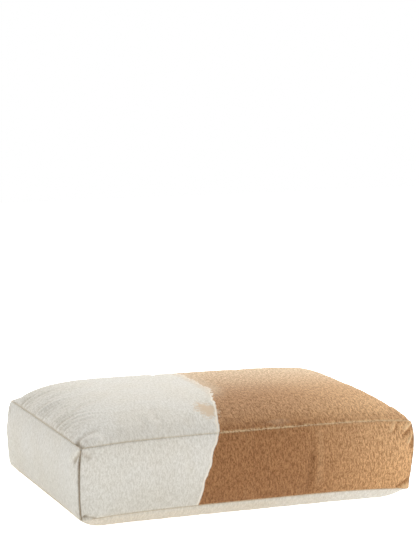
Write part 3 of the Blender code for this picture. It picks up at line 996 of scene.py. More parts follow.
def inset_level(height, depth, x, y, sign):
    """A panel's skin moved in from the seams by a depth all round, and down, or up, by as much, with slow
    waves both ways."""
    inner_x, inner_y = x * (1 - depth / HALF_LENGTH), y * (1 - depth / HALF_WIDTH)
    quilted = QUILT_DEPTH * np.sin(inner_x * 61) * np.sin(inner_y * 53)
    return np.stack([inner_x, inner_y, height(inner_x, inner_y) - sign * depth + quilted], axis=-1)


def band_points(depth, low_share, high_share, rows):
    """A closed band round the cushion at a depth under its walls: for each place round the plan, points up
    the wall between two shares of its height."""
    side_places = np.linspace(-1, 1, BAND_COLUMNS // 4, endpoint=False)
    share = np.linspace(low_share, high_share, rows)
    inset = np.array([1 - depth / HALF_LENGTH, 1 - depth / HALF_WIDTH, 1.0])
    walls = []
    for long, side, flip in ((True, -1, 1), (False, 1, 1), (True, 1, -1), (False, -1, -1)):
        half = HALF_LENGTH if long else HALF_WIDTH
        along, up = np.meshgrid(flip * side_places * half, share, indexing="ij")
        walls.append(wall_skin(long, side, along, up) * inset)
    return np.vstack(walls)


def make_case():
    """The calico case of the pad: top, bottom and side band."""
    x, y = plan_grid(CASE_CELLS)
    for name, node, height, sign, turned in (
        ("pad_top", "pad_case_top", top_height, 1, False),
        ("pad_bottom", "pad_case_bottom", bottom_height, -1, True),
    ):
        points = inset_level(height, PAD_DEPTH, x, y, sign)
        faces = grid_faces(*x.shape, turned)
        piece = mesh_object(name, points, faces, "calico", np.stack([x, y], axis=-1))
        thicken(piece, CASE_CLOTH)
        ride_for(piece, "calico", node)
    points = band_points(PAD_DEPTH, *CASE_SHARES, CASE_ROWS)
    run, rise = np.arange(BAND_COLUMNS) * BAND_SPACING, np.linspace(0, BOXING_HEIGHT, CASE_ROWS)
    uv = np.stack(np.meshgrid(run, rise, indexing="ij"), axis=-1)
    faces = grid_faces(*points.shape[:2], close_rows=True)
    piece = mesh_object("pad_band", points, faces, "calico", uv)
    thicken(piece, CASE_CLOTH)
    ride_for(piece, "calico", "pad_case_band")


def closed_layer(name, node, upper, lower):
    """Wadding between two surfaces over the same grid, closed round its edge."""
    rows, columns = upper.shape[:2]
    count = rows * columns
    index = np.arange(count).reshape(rows, columns)
    edge = np.concatenate([index[:, 0], index[-1, 1:], index[-2::-1, -1], index[0, -2:0:-1]])
    after = np.roll(edge, -1)
    side = np.stack([edge + count, after + count, after, edge], axis=1)
    faces = np.vstack([grid_faces(rows, columns), grid_faces(rows, columns, True) + count, side])
    points = np.vstack([upper.reshape(-1, 3), lower.reshape(-1, 3)])
    return ride_for(mesh_object(name, points, faces, "wadding"), "wadding", node)


def make_filling():
    """Fibre wadding over, under and round the foam core, and the core's own material."""
    foam_low, foam_high = box_of("foam_core")
    depth = PAD_DEPTH + WADDING_GAP
    x, y = plan_grid(WADDING_CELLS)
    tuft = TUFT_DEPTH * np.sin(x * 190) * np.sin(y * 170)
    upper = inset_level(top_height, depth, x, y, 1)
    lower = upper.copy()
    lower[..., 2] = foam_high[2] + FOAM_GAP
    upper[..., 2] += tuft
    closed_layer("wadding_over", "wadding_top", upper, lower)
    under = inset_level(bottom_height, depth, x, y, -1)
    over = under.copy()
    over[..., 2] = foam_low[2] - FOAM_GAP
    closed_layer("wadding_under", "wadding_bottom", over, under)
    seam = seam_height(0.0, HALF_WIDTH)
    low_share = (foam_low[2] - seam) / BOXING_HEIGHT
    high_share = (foam_high[2] - seam) / BOXING_HEIGHT
    outer = band_points(depth, low_share, high_share, WADDING_ROWS)
    inner = outer[:, ::-1].copy()
    half = np.array([HALF_LENGTH - depth, HALF_WIDTH - depth])
    scale = (foam_high[:2] + FOAM_GAP) / half
    inner[..., :2] = np.clip(inner[..., :2], -half, half) * scale
    loop = np.concatenate([outer, inner], axis=1)
    loop[..., 2] = np.clip(loop[..., 2], foam_low[2], foam_high[2])
    faces = grid_faces(*loop.shape[:2], close_rows=True, close_columns=True)
    piece = mesh_object("wadding_round", loop, faces, "wadding")
    ride_for(piece, "wadding", "wadding_band")
    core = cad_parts["foam_core"]
    core.data.materials.clear()
    core.data.materials.append(material("foam"))


# ---------------------------------------------------------------- shader parts


def add(tree, kind, inputs=None, **settings):
    """Adds a node, sets its options, then sets each input to a value or links it to a socket."""
    node = tree.nodes.new(kind)
    for label, value in settings.items():
        setattr(node, label, value)
    for key, value in (inputs or {}).items():
        socket = node.inputs[key]
        if isinstance(value, bpy.types.NodeSocket):
            tree.links.new(value, socket)
        else:
            socket.default_value = value
    return node


def sums(tree, operation, first, second=0.0, third=0.0, clamp=False):
    """The output of a Math node."""
    values = {0: first, 1: second, 2: third}
    return add(tree, "ShaderNodeMath", values, operation=operation, use_clamp=clamp).outputs[0]


def vector_sums(tree, operation, first, second):
    """The output of a Vector Math node."""
    node = add(tree, "ShaderNodeVectorMath", {0: first, 1: second}, operation=operation)
    return node.outputs[0]


def ease(tree, value, low, high, start=0.0, end=1.0):
    """A value eased from start to end while another goes from low to high."""
    inputs = {"Value": value, "From Min": low, "From Max": high, "To Min": start, "To Max": end}
    node = add(tree, "ShaderNodeMapRange", inputs, interpolation_type="SMOOTHSTEP", clamp=True)
    return node.outputs["Result"]


def blend(tree, factor, first, second, kind="MIX"):
    """One colour over another."""
    node = add(tree, "ShaderNodeMix", data_type="RGBA", blend_type=kind, clamp_factor=True)
    for socket, value in ((node.inputs[0], factor), (node.inputs[6], first), (node.inputs[7], second)):
        if isinstance(value, bpy.types.NodeSocket):
            tree.links.new(value, socket)
        else:
            socket.default_value = value
    return node.outputs[2]


def shade(tree, colour, tint):
    """A colour multiplied by a fixed tint."""
    return blend(tree, 1.0, colour, (*tint, 1.0), "MULTIPLY")


def noise(tree, vector, scale, detail=2.0, roughness=0.5, kind="3D"):
    """The grey output of a Noise texture."""
    inputs = {"Vector": vector, "Scale": scale, "Detail": detail, "Roughness": roughness}
    return add(tree, "ShaderNodeTexNoise", inputs, noise_dimensions=kind).outputs[0]


def group(name, inputs, outputs):
    """A new shader node group with its sockets, and its two end nodes."""
    tree = bpy.data.node_groups.new(name, "ShaderNodeTree")
    for label, kind, value in inputs:
        socket = tree.interface.new_socket(label, in_out="INPUT", socket_type=kind)
        if value is not None:
            socket.default_value = value
    for label, kind in outputs:
        tree.interface.new_socket(label, in_out="OUTPUT", socket_type=kind)
    return tree, tree.nodes.new("NodeGroupInput").outputs, tree.nodes.new("NodeGroupOutput").inputs


def link(tree, source, target):
    """Joins an output to an input."""
    tree.links.new(source, target)


FLOAT, VECTOR = "NodeSocketFloat", "NodeSocketVector"


def crinkle_group():
    """Brushed, crinkled cotton: short wavy streaks that run up the cloth, over a fine nap."""
    tree, given, out = group(
        "Crinkle",
        [("Cloth", VECTOR, None), ("Streak Width", FLOAT, 0.0050), ("Streak Length", FLOAT, 0.0155)],
        [("Height", FLOAT), ("Tone", FLOAT), ("Nap", FLOAT)],
    )
    wave = noise(tree, given["Cloth"], 45.0, 2.0, 0.5, "2D")
    parts = add(tree, "ShaderNodeSeparateXYZ", {0: given["Cloth"]}).outputs
    leaning = sums(tree, "MULTIPLY_ADD", sums(tree, "SUBTRACT", wave, 0.5), 0.009, parts[0])
    streak_u = sums(tree, "DIVIDE", leaning, given["Streak Width"])
    streak_v = sums(tree, "DIVIDE", parts[1], given["Streak Length"])
    streak = add(tree, "ShaderNodeCombineXYZ", {0: streak_u, 1: streak_v, 2: 0.0}).outputs[0]
    coarse = noise(tree, streak, 1.0, 3.0, 0.55, "2D")
    fine = noise(tree, vector_sums(tree, "ADD", streak, (7.3, 2.1, 0.0)), 2.6, 2.0, 0.6, "2D")
    nap = noise(tree, given["Cloth"], 620.0, 2.0, 0.6, "2D")
    height = sums(tree, "MULTIPLY_ADD", fine, 0.52, sums(tree, "MULTIPLY", coarse, 0.48))
    link(tree, sums(tree, "MULTIPLY_ADD", nap, 0.16, height), out["Height"])
    # The tone follows the height: the cloth's streaky tone, and painted shade in its hollows
    link(tree, ease(tree, height, 0.36, 0.64), out["Tone"])
    link(tree, nap, out["Nap"])
    return tree


def weave_group():
    """Plain weave: two sets of threads, each over and then under the other."""
    tree, given, out = group(
        "Weave", [("Cloth", VECTOR, None), ("Pitch", FLOAT, 0.0010)], [("Height", FLOAT), ("Tone", FLOAT)]
    )
    parts = add(tree, "ShaderNodeSeparateXYZ", {0: given["Cloth"]}).outputs[:2]
    turns = [sums(tree, "DIVIDE", sums(tree, "MULTIPLY", part, math.pi), given["Pitch"]) for part in parts]
    waves = [sums(tree, "ABSOLUTE", sums(tree, "SINE", turn)) for turn in turns]
    checks = sums(tree, "MULTIPLY", sums(tree, "COSINE", turns[0]), sums(tree, "COSINE", turns[1]))
    over = ease(tree, checks, -0.4, 0.4)
    crossed = sums(tree, "SUBTRACT", waves[0], waves[1])
    height = sums(tree, "MULTIPLY_ADD", crossed, over, waves[1])
    link(tree, height, out["Height"])
    link(tree, ease(tree, height, 0.0, 1.0, 0.86, 1.0), out["Tone"])
    return tree


EDGE_AT_BACK = -0.020
EDGE_BEND = -0.080
EDGE_SLOPE = 0.29
TOP_EDGE_HEIGHT = 0.250
# Centre and half sizes of two pale patches: one beside the edge, where the dye was brushed out, and one by
# the front seam, a painted highlight
BRUSHED_PATCHES = (
    ((-0.100, -0.262, 0.298), (0.030, 0.044, 0.06)),
    ((0.088, -0.336, 0.262), (0.034, 0.010, 0.02)),
)
# How strongly the painted highlight by the front seam shows
SEAM_HIGHLIGHT_SHARE = 0.12
EDGE_BAND_SHARE = 0.55


def dye_group():
    """The hand-dyed half of the cover. The dye's edge leans from the front bottom to the middle of the top,
    then runs straight back. Outputs: the dyed share, the pale line along the edge, the pale patches
    (brushed-out dye beside the edge, and a painted highlight by the front seam), how light the dye is (its
    mottle, a lighter right end that is partly dye and partly painted light, and painted light on the top),
    and how far painted sheen pales it towards the back of the top."""
    tree, given, out = group(
        "Dye",
        [("Place", VECTOR, None)],
        [("Dyed", FLOAT), ("Edge Line", FLOAT), ("Brushed", FLOAT), ("Lightness", FLOAT), ("Top", FLOAT)],
    )
    x, y, z = add(tree, "ShaderNodeSeparateXYZ", {0: given["Place"]}).outputs
    below = sums(tree, "MAXIMUM", sums(tree, "SUBTRACT", TOP_EDGE_HEIGHT, z), 0.0)
    along = sums(tree, "MULTIPLY_ADD", sums(tree, "SIGN", y), below, y)
    lean = sums(tree, "MAXIMUM", sums(tree, "SUBTRACT", EDGE_BEND, along), 0.0)
    edge = sums(tree, "MULTIPLY_ADD", lean, -EDGE_SLOPE, EDGE_AT_BACK)
    slow = sums(tree, "SUBTRACT", noise(tree, given["Place"], 17.0, 1.0), 0.5)
    quick = sums(tree, "SUBTRACT", noise(tree, given["Place"], 95.0, 3.0, 0.6), 0.5)
    wobble = sums(tree, "MULTIPLY_ADD", quick, 0.0060, sums(tree, "MULTIPLY", slow, 0.022))
    past = sums(tree, "ADD", sums(tree, "SUBTRACT", x, edge), wobble)
    on_top = ease(tree, z, 0.250, 0.275)
    far = sums(tree, "MULTIPLY", on_top, ease(tree, y, -0.24, -0.08))
    frayed = sums(tree, "MULTIPLY", far, sums(tree, "MULTIPLY", quick, 0.050))
    past = sums(tree, "ADD", past, frayed)
    link(tree, ease(tree, past, 0.0, 0.0030), out["Dyed"])
    off = sums(tree, "DIVIDE", sums(tree, "ADD", past, 0.0022), 0.0026)
    pale = sums(tree, "EXPONENT", sums(tree, "MULTIPLY", sums(tree, "MULTIPLY", off, off), -1.0))
    link(tree, pale, out["Edge Line"])
    patches = []
    for centre, size in BRUSHED_PATCHES:
        away = vector_sums(tree, "DIVIDE", vector_sums(tree, "SUBTRACT", given["Place"], centre), size)
        reach = add(tree, "ShaderNodeVectorMath", {0: away}, operation="LENGTH").outputs["Value"]
        ragged = sums(tree, "MULTIPLY_ADD", quick, 2.4, reach)
        patches.append(ease(tree, ragged, 1.30, 0.45))
    # The second patch is a painted highlight by the front seam
    patch = sums(tree, "MAXIMUM", patches[0], sums(tree, "MULTIPLY", patches[1], SEAM_HIGHLIGHT_SHARE))
    spread = sums(tree, "MULTIPLY", ease(tree, past, 0.055, 0.004), ease(tree, past, -0.030, -0.004))
    band = sums(tree, "MULTIPLY", sums(tree, "MULTIPLY", spread, far), EDGE_BAND_SHARE)
    link(tree, sums(tree, "MAXIMUM", patch, band, clamp=True), out["Brushed"])
    mottle = sums(tree, "SUBTRACT", noise(tree, given["Place"], 9.0, 3.0, 0.6), 0.5)
    # The right end is lighter, partly dye and partly painted light from the right; the top is lighter by
    # painted light from above
    right = ease(tree, x, 0.02, 0.60, 0.0, 0.90)
    light = sums(tree, "MULTIPLY_ADD", mottle, 0.30, right)
    link(tree, sums(tree, "MULTIPLY_ADD", on_top, 0.26, light, clamp=True), out["Lightness"])
    # Painted sheen: the top pales towards its back, by the front seam and to the right
    painted_sheen = sums(tree, "ADD", ease(tree, y, -0.345, -0.29, 0.0, 0.08), ease(tree, y, -0.24, 0.24, 0.0, 0.98))
    painted_sheen = sums(tree, "ADD", painted_sheen, ease(tree, x, 0.10, 0.45, 0.0, 0.10))
    link(tree, sums(tree, "MULTIPLY", ease(tree, z, 0.05, 0.252), painted_sheen), out["Top"])
    return tree


def wear_group():
    """Handled metal: fine scratches and dull patches."""
    tree, given, out = group(
        "Wear", [("Place", VECTOR, None)], [("Tone", FLOAT), ("Roughness", FLOAT), ("Height", FLOAT)]
    )
    stretched = vector_sums(tree, "MULTIPLY", given["Place"], (300.0, 2600.0, 5200.0))
    scratches = noise(tree, stretched, 1.0, 3.0, 0.6)
    patches = noise(tree, given["Place"], 260.0, 3.0, 0.6)
    link(tree, ease(tree, patches, 0.30, 0.72, 0.72, 1.0), out["Tone"])
    rough = sums(tree, "MULTIPLY_ADD", scratches, 0.22, ease(tree, patches, 0.3, 0.7, 0.22, 0.34))
    link(tree, rough, out["Roughness"])
    link(tree, scratches, out["Height"])
    return tree


def placed(tree, name, make, **inputs):
    """Places a shared group, made the first time, in a material, with its inputs set or linked."""
    node = tree.nodes.new("ShaderNodeGroup")
    node.node_tree = bpy.data.node_groups.get(name) or make()
    for key, value in inputs.items():
        if isinstance(value, bpy.types.NodeSocket):
            tree.links.new(value, node.inputs[key])
        else:
            node.inputs[key].default_value = value
    return node.outputs


def start_material(name):
    """An empty material with a Principled shader, and its node tree."""
    made = bpy.data.materials.new(name)
    made.use_nodes = True
    return made, made.node_tree, made.node_tree.nodes["Principled BSDF"]


def bump(tree, shader, height, distance):
    """Feeds a height into the shader's normal."""
    node = add(tree, "ShaderNodeBump", {"Height": height, "Distance": distance, "Strength": 1.0})
    link(tree, node.outputs[0], shader.inputs["Normal"])


def rgb(colour, share=1.0):
    """A colour, or a darker share of it, as four values."""
    return (*(share * part for part in tuple(colour)[:3]), 1.0)


def cloth_finish(shader, roughness, sheen):
    """Values of brushed cloth that don't change over the surface."""
    shader.inputs["Roughness"].default_value = roughness
    shader.inputs["Specular IOR Level"].default_value = 0.25
    shader.inputs["Sheen Weight"].default_value = sheen
    shader.inputs["Sheen Roughness"].default_value = 0.45
    shader.inputs["Sheen Tint"].default_value = (1.0, 0.97, 0.92, 1.0)


# Tints of painted shade on the cotton: in its crinkle's hollows (which also hold the cloth's own streaky
# tone), low on the walls, under the cushion, where it is warmer too, along a seam's groove, in the dyed
# crinkle, in folds and in the slots of the upright corners
CRINKLE_SHADE_TINT = (0.79, 0.775, 0.742)
LOW_SHADE_TINT = (0.90, 0.895, 0.875)
UNDERSIDE_SHADE_TINT = (0.93, 0.88, 0.81)
SEAM_SHADE_TINT = (0.72, 0.66, 0.58)
DYED_CRINKLE_SHADE_TINT = (0.46, 0.395, 0.335)
FOLD_SHADE_TINT = (0.62, 0.55, 0.47)
SLOT_SHADE_TINT = (0.30, 0.22, 0.15)
WEAVE_TINT = (0.9, 0.9, 0.9)


def painted_seam_shade(tree, colour, seam, rubbed):
    """Cotton with painted shade along the groove of its seam: thin, broken and a little darker."""
    thin = sums(tree, "POWER", seam, 2.2)
    worn = sums(tree, "MULTIPLY", thin, ease(tree, rubbed, 0.32, 0.60, 0.15, 0.55))
    return blend(tree, worn, colour, shade(tree, colour, SEAM_SHADE_TINT))


def cotton(name, dyed):
    """The cover's cotton: crinkled and brushed, natural on one side of the dye's edge and tan on the other.
    The seams show a broken pale line of rubbed cloth in the dyed part, painted shade along their grooves, and
    painted shade in the slots at the corners. Painted shade, warmer under the cushion, darkens the natural
    cotton low down and under the cushion, most so to the left; painted shade also darkens folds and the
    crinkle's hollows, and painted highlights light the ridges of folds and the dye on the top and to the
    right."""
    settings = bpy.context.scene.cushion_cover
    made, tree, shader = start_material(name)
    cloth = add(tree, "ShaderNodeUVMap", uv_map="Cloth").outputs[0]
    place = add(tree, "ShaderNodeTexCoord").outputs["Object"]
    seam = add(tree, "ShaderNodeAttribute", attribute_name="seam").outputs["Fac"]
    slot = add(tree, "ShaderNodeAttribute", attribute_name="slot").outputs["Fac"]
    crinkle = placed(tree, "Crinkle", crinkle_group, Cloth=cloth)
    weave = placed(tree, "Weave", weave_group, Cloth=cloth, Pitch=0.0011)
    mottle = noise(tree, place, 6.0, 3.0, 0.55)
    rubbed = noise(tree, place, 160.0, 3.0, 0.65)
    natural = blend(tree, ease(tree, mottle, 0.32, 0.68), rgb(settings.natural), rgb(settings.natural_warm))
    # The crinkle's streaky tone, with painted shade in its hollows
    natural = blend(tree, crinkle["Tone"], shade(tree, natural, CRINKLE_SHADE_TINT), natural)
    length, _, height = add(tree, "ShaderNodeSeparateXYZ", {0: place}).outputs
    # Painted shade, warmer, under the cushion and low on the walls: strongest to the left and gone at the
    # right end
    underside_shaded = shade(tree, natural, UNDERSIDE_SHADE_TINT)
    shaded = shade(tree, natural, LOW_SHADE_TINT)
    shade_to_left = ease(tree, length, 0.50, -0.10)
    low = sums(tree, "MULTIPLY", ease(tree, height, 0.200, 0.060), shade_to_left)
    underside_shade_mask = sums(tree, "MULTIPLY", ease(tree, height, 0.055, 0.028), shade_to_left)
    natural = blend(tree, underside_shade_mask, blend(tree, low, natural, shaded), underside_shaded)
    colour = natural
    if dyed:
        dye = placed(tree, "Dye", dye_group, Place=place)
        # Dark to light tan, carrying painted light on the top and to the right
        tan = blend(tree, dye["Lightness"], rgb(settings.dye_dark), rgb(settings.dye_light))
        # Painted sheen pales the top towards its back
        tan = blend(tree, sums(tree, "MULTIPLY", dye["Top"], 0.80), tan, rgb(settings.dye_pale_sheen))
        # The crinkle's streaky tone, with painted shade in its hollows
        tan = blend(tree, crinkle["Tone"], shade(tree, tan, DYED_CRINKLE_SHADE_TINT), tan)
        # Painted highlight, golden, on the ridges of folds
        raised_highlight = add(tree, "ShaderNodeAttribute", attribute_name="raised_highlight").outputs["Fac"]
        tan = blend(tree, sums(tree, "MULTIPLY", raised_highlight, 0.55), tan, rgb(settings.seam_pale_and_highlight))
        # Painted shade along the seam's groove
        tan = painted_seam_shade(tree, tan, seam, rubbed)
        broken = sums(tree, "MULTIPLY", seam, ease(tree, rubbed, 0.40, 0.56))
        tan = blend(tree, sums(tree, "MULTIPLY", broken, 0.8), tan, rgb(settings.seam_pale_and_highlight))
        # Undyed cotton with painted shade along the seam's groove, under the dyed tan
        colour = blend(tree, dye["Dyed"], painted_seam_shade(tree, natural, seam, rubbed), tan)
        # Brushed-out dye, and a painted highlight by the front seam
        colour = blend(tree, dye["Brushed"], colour, rgb(settings.brushed))
        colour = blend(tree, sums(tree, "MULTIPLY", dye["Edge Line"], 0.9), colour, rgb(settings.edge_line))
    # Painted shade in folds and in the valleys of the simulated wrinkles
    hollow_shade = add(tree, "ShaderNodeAttribute", attribute_name="hollow_shade").outputs["Fac"]
    colour = blend(tree, sums(tree, "MULTIPLY", hollow_shade, 0.8), colour, shade(tree, colour, FOLD_SHADE_TINT))
    # Painted shade in the slots of the upright corners
    colour = blend(tree, sums(tree, "MULTIPLY", slot, 0.85), colour, shade(tree, colour, SLOT_SHADE_TINT))
    # Painted shade along the seam's groove on the undyed cotton
    if not dyed:
        colour = painted_seam_shade(tree, colour, seam, rubbed)
    toned = blend(tree, weave["Tone"], shade(tree, colour, WEAVE_TINT), colour)
    link(tree, toned, shader.inputs["Base Color"])
    relief = sums(tree, "MULTIPLY_ADD", weave["Height"], 0.16, crinkle["Height"])
    bump(tree, shader, relief, settings.crinkle_depth)
    cloth_finish(shader, 0.92, 0.12)
    if dyed:
        shader.inputs["Sheen Tint"].default_value = (1.0, 0.80, 0.60, 1.0)
    return made


def calico(name):
    """Unbleached case cloth: plain weave with dark flecks."""
    made, tree, shader = start_material(name)
    cloth = add(tree, "ShaderNodeUVMap", uv_map="Cloth").outputs[0]
    weave = placed(tree, "Weave", weave_group, Cloth=cloth, Pitch=0.0008)
    flecks = ease(tree, noise(tree, cloth, 420.0, 2.0, 0.6, "2D"), 0.66, 0.72)
    colour = blend(tree, flecks, (0.70, 0.66, 0.57, 1.0), (0.40, 0.31, 0.20, 1.0))
    link(tree, blend(tree, weave["Tone"], (0.6, 0.57, 0.5, 1.0), colour), shader.inputs["Base Color"])
    bump(tree, shader, weave["Height"], 0.0003)
    cloth_finish(shader, 0.9, 0.1)
    return made


def twisted_thread(name):
    """Cotton thread: thin strands, slightly uneven in colour."""
    settings = bpy.context.scene.cushion_cover
    made, tree, shader = start_material(name)
    place = add(tree, "ShaderNodeTexCoord").outputs["Object"]
    wave = vector_sums(tree, "MULTIPLY", place, (5200.0, 5200.0, 5200.0))
    strands = add(tree, "ShaderNodeTexWave", {"Vector": wave, "Scale": 0.35, "Distortion": 1.0}).outputs[1]
    uneven = noise(tree, place, 140.0, 2.0)
    colour = blend(tree, uneven, rgb(settings.thread), rgb(settings.thread_dark))
    link(tree, colour, shader.inputs["Base Color"])
    bump(tree, shader, strands, 0.0001)
    cloth_finish(shader, 0.7, 0.15)
    return made


def ribbon(name, colour, pitch, roughness):
    """Woven tape or label: ribs across it and a plain weave between them."""
    made, tree, shader = start_material(name)
    cloth = add(tree, "ShaderNodeUVMap", uv_map="Cloth").outputs[0]
    weave = placed(tree, "Weave", weave_group, Cloth=cloth, Pitch=pitch)
    soft = noise(tree, cloth, 90.0, 2.0, 0.5, "2D")
    base = blend(tree, ease(tree, soft, 0.3, 0.7), rgb(colour), rgb(colour, 0.9))
    link(tree, blend(tree, weave["Tone"], rgb(colour, 0.72), base), shader.inputs["Base Color"])
    bump(tree, shader, weave["Height"], 0.0002)
    cloth_finish(shader, roughness, 0.1)
    return made


def coil_plastic(name):
    """Coil wire: smooth plastic with slight dirt."""
    made, tree, shader = start_material(name)
    place = add(tree, "ShaderNodeTexCoord").outputs["Object"]
    dirt = noise(tree, place, 300.0, 3.0, 0.6)
    colour = blend(tree, ease(tree, dirt, 0.35, 0.75), (0.62, 0.57, 0.48, 1.0), (0.50, 0.45, 0.36, 1.0))
    link(tree, colour, shader.inputs["Base Color"])
    link(tree, ease(tree, dirt, 0.3, 0.7, 0.32, 0.5), shader.inputs["Roughness"])
    return made


def brass(name):
    """Brushed brass, rubbed and scratched by use."""
    settings = bpy.context.scene.cushion_zip
    made, tree, shader = start_material(name)
    place = add(tree, "ShaderNodeTexCoord").outputs["Object"]
    wear = placed(tree, "Wear", wear_group, Place=place)
    tone = blend(tree, wear["Tone"], rgb(settings.brass, 0.62), rgb(settings.brass))
    link(tree, tone, shader.inputs["Base Color"])
    link(tree, wear["Roughness"], shader.inputs["Roughness"])
    bump(tree, shader, wear["Height"], 0.00004)
    shader.inputs["Metallic"].default_value = 1.0
    return made


def fibre(name):
    """Polyester wadding: matted white fibres."""
    made, tree, shader = start_material(name)
    place = add(tree, "ShaderNodeTexCoord").outputs["Object"]
    stretched = vector_sums(tree, "MULTIPLY", place, (240.0, 700.0, 240.0))
    fibres = noise(tree, stretched, 1.0, 5.0, 0.7)
    colour = blend(tree, fibres, (0.78, 0.78, 0.77, 1.0), (0.92, 0.92, 0.91, 1.0))
    link(tree, colour, shader.inputs["Base Color"])
    bump(tree, shader, fibres, 0.002)
    cloth_finish(shader, 1.0, 0.3)
    return made


def open_foam(name):
    """Upholstery foam: cream, with open pores."""
    made, tree, shader = start_material(name)
    place = add(tree, "ShaderNodeTexCoord").outputs["Object"]
    pores = add(tree, "ShaderNodeTexVoronoi", {"Vector": place, "Scale": 700.0}).outputs["Distance"]
    colour = blend(tree, ease(tree, pores, 0.0, 0.5), (0.55, 0.47, 0.26, 1.0), (0.82, 0.76, 0.55, 1.0))
    link(tree, colour, shader.inputs["Base Color"])
    bump(tree, shader, pores, 0.0006)
    shader.inputs["Roughness"].default_value = 0.95
    return made


def glowing_floor(name):
    """Studio floor: the camera sees it white, and it gives the cushion less light than that."""
    settings = bpy.context.scene.cushion_stage
    made, tree, shader = start_material(name)
    place = add(tree, "ShaderNodeTexCoord").outputs["Object"]
    grain = noise(tree, place, 3.0, 2.0)
    grey = blend(tree, grain, (0.86, 0.86, 0.86, 1.0), (0.90, 0.90, 0.90, 1.0))
    link(tree, grey, shader.inputs["Base Color"])
    shader.inputs["Roughness"].default_value = 1.0
    shader.inputs["Specular IOR Level"].default_value = 0.0
    shader.inputs["Emission Color"].default_value = (1.0, 1.0, 1.0, 1.0)
    seen = add(tree, "ShaderNodeLightPath").outputs["Is Camera Ray"]
    more = settings.floor_glow - settings.floor_bounce
    glow = sums(tree, "MULTIPLY_ADD", seen, more, settings.floor_bounce)
    link(tree, glow, shader.inputs["Emission Strength"])
    return made


MATERIALS = {
    "dyed_cotton": lambda name: cotton(name, True),
    "undyed_cotton": lambda name: cotton(name, False),
    "calico": calico,
    "thread": twisted_thread,
    "zip_cloth": lambda name: ribbon(name, (0.66, 0.60, 0.50), 0.0007, 0.85),
    "label": lambda name: ribbon(name, (0.84, 0.83, 0.79), 0.0005, 0.6),
    "zip_coil": coil_plastic,
    "zip_metal": brass,
    "wadding": fibre,
    "foam": open_foam,
    "studio_floor": glowing_floor,
}


def material(finish):
    """The material of a finish, made the first time. The frame's own materials are left alone."""
    name = f"{finish}_look"
    return bpy.data.materials.get(name) or MATERIALS[finish](name)


# ---------------------------------------------------------------- stage

FLOOR_REACH = 8.0
FLOOR_CELLS = (33, 65)
FLOOR_DROP = 0.0005


def camera_place(settings):
    """Where the camera stands: a direction and a distance from a point over the cushion's middle."""
    azimuth, elevation = settings.azimuth, settings.elevation
    back = Vector(
        (
            math.sin(azimuth) * math.cos(elevation),
            -math.cos(azimuth) * math.cos(elevation),
            math.sin(elevation),
        )
    )
    return Vector((0.0, 0.0, settings.aim_height)) + back * settings.distance


def make_camera(settings):
    """The camera, level, turned by its own pan and tilt."""
    camera = bpy.data.objects.new("camera", bpy.data.cameras.new("camera"))
    camera.data.lens = settings.lens
    camera.data.sensor_width = 36.0
    camera.data.clip_end = 100.0
    camera.location = camera_place(settings)
    pan, tilt = settings.azimuth + settings.pan, settings.elevation + settings.tilt
    camera.rotation_euler = (math.pi / 2 - tilt, 0.0, pan)
    bpy.context.scene.collection.objects.link(camera)
    bpy.context.scene.camera = camera


def make_floor():
    """A wide, flat, pale floor just under the cushion."""
    x, y = np.meshgrid(
        np.linspace(-FLOOR_REACH, FLOOR_REACH, FLOOR_CELLS[0]),
        np.linspace(-FLOOR_REACH, FLOOR_REACH, FLOOR_CELLS[1]),
        indexing="ij",
    )
    points = np.stack([x, y, -FLOOR_DROP + 0 * x], axis=-1)
    mesh_object("studio_floor", points, grid_faces(*FLOOR_CELLS), "studio_floor")


def make_lights(settings):
    """A surround that the camera sees white, and three soft panels: over and behind the cushion, and to its
    right and left."""
    world = bpy.data.worlds.new("studio")
    world.use_nodes = True
    tree = world.node_tree
    surround = tree.nodes["Background"]
    surround.inputs["Color"].default_value = (1.0, 1.0, 1.0, 1.0)
    seen = add(tree, "ShaderNodeLightPath").outputs["Is Camera Ray"]
    strength = sums(tree, "MULTIPLY_ADD", seen, 1.0 - settings.surround, settings.surround)
    link(tree, strength, surround.inputs["Strength"])
    bpy.context.scene.world = world
    for name, place, size, power in (
        ("over", Vector((0.5, 1.3, 2.2)), 1.4, settings.over_power),
        ("right", Vector((2.2, -2.2, 1.3)), 1.2, settings.right_power),
        ("left", Vector((-2.8, -0.2, 1.1)), 1.6, settings.left_power),
    ):
        lamp = bpy.data.lights.new(name, "AREA")
        lamp.size = size
        lamp.energy = power
        thing = bpy.data.objects.new(name, lamp)
        thing.location = place
        thing.rotation_euler = (-place).to_track_quat("-Z", "Y").to_euler()
        bpy.context.scene.collection.objects.link(thing)


# ---------------------------------------------------------------- settings


def colour_setting(name, description, default):
    """A colour as three values from 0 to 1."""
    return bpy.props.FloatVectorProperty(
        name=name, description=description, default=default, subtype="COLOR", min=0, max=1
    )


def length_setting(name, description, default):
    """A length in metres."""
    return bpy.props.FloatProperty(name=name, description=description, default=default, unit="LENGTH", min=0)


def angle_setting(name, description, degrees):
    """An angle, given in degrees."""
    return bpy.props.FloatProperty(
        name=name, description=description, default=math.radians(degrees), subtype="ANGLE"
    )


def power_setting(name, description, default):
    """A light's power in watts."""
    return bpy.props.FloatProperty(name=name, description=description, default=default, unit="POWER", min=0)


def number_setting(name, description, default):
    """A plain number, 0 or more."""
    return bpy.props.FloatProperty(name=name, description=description, default=default, min=0)


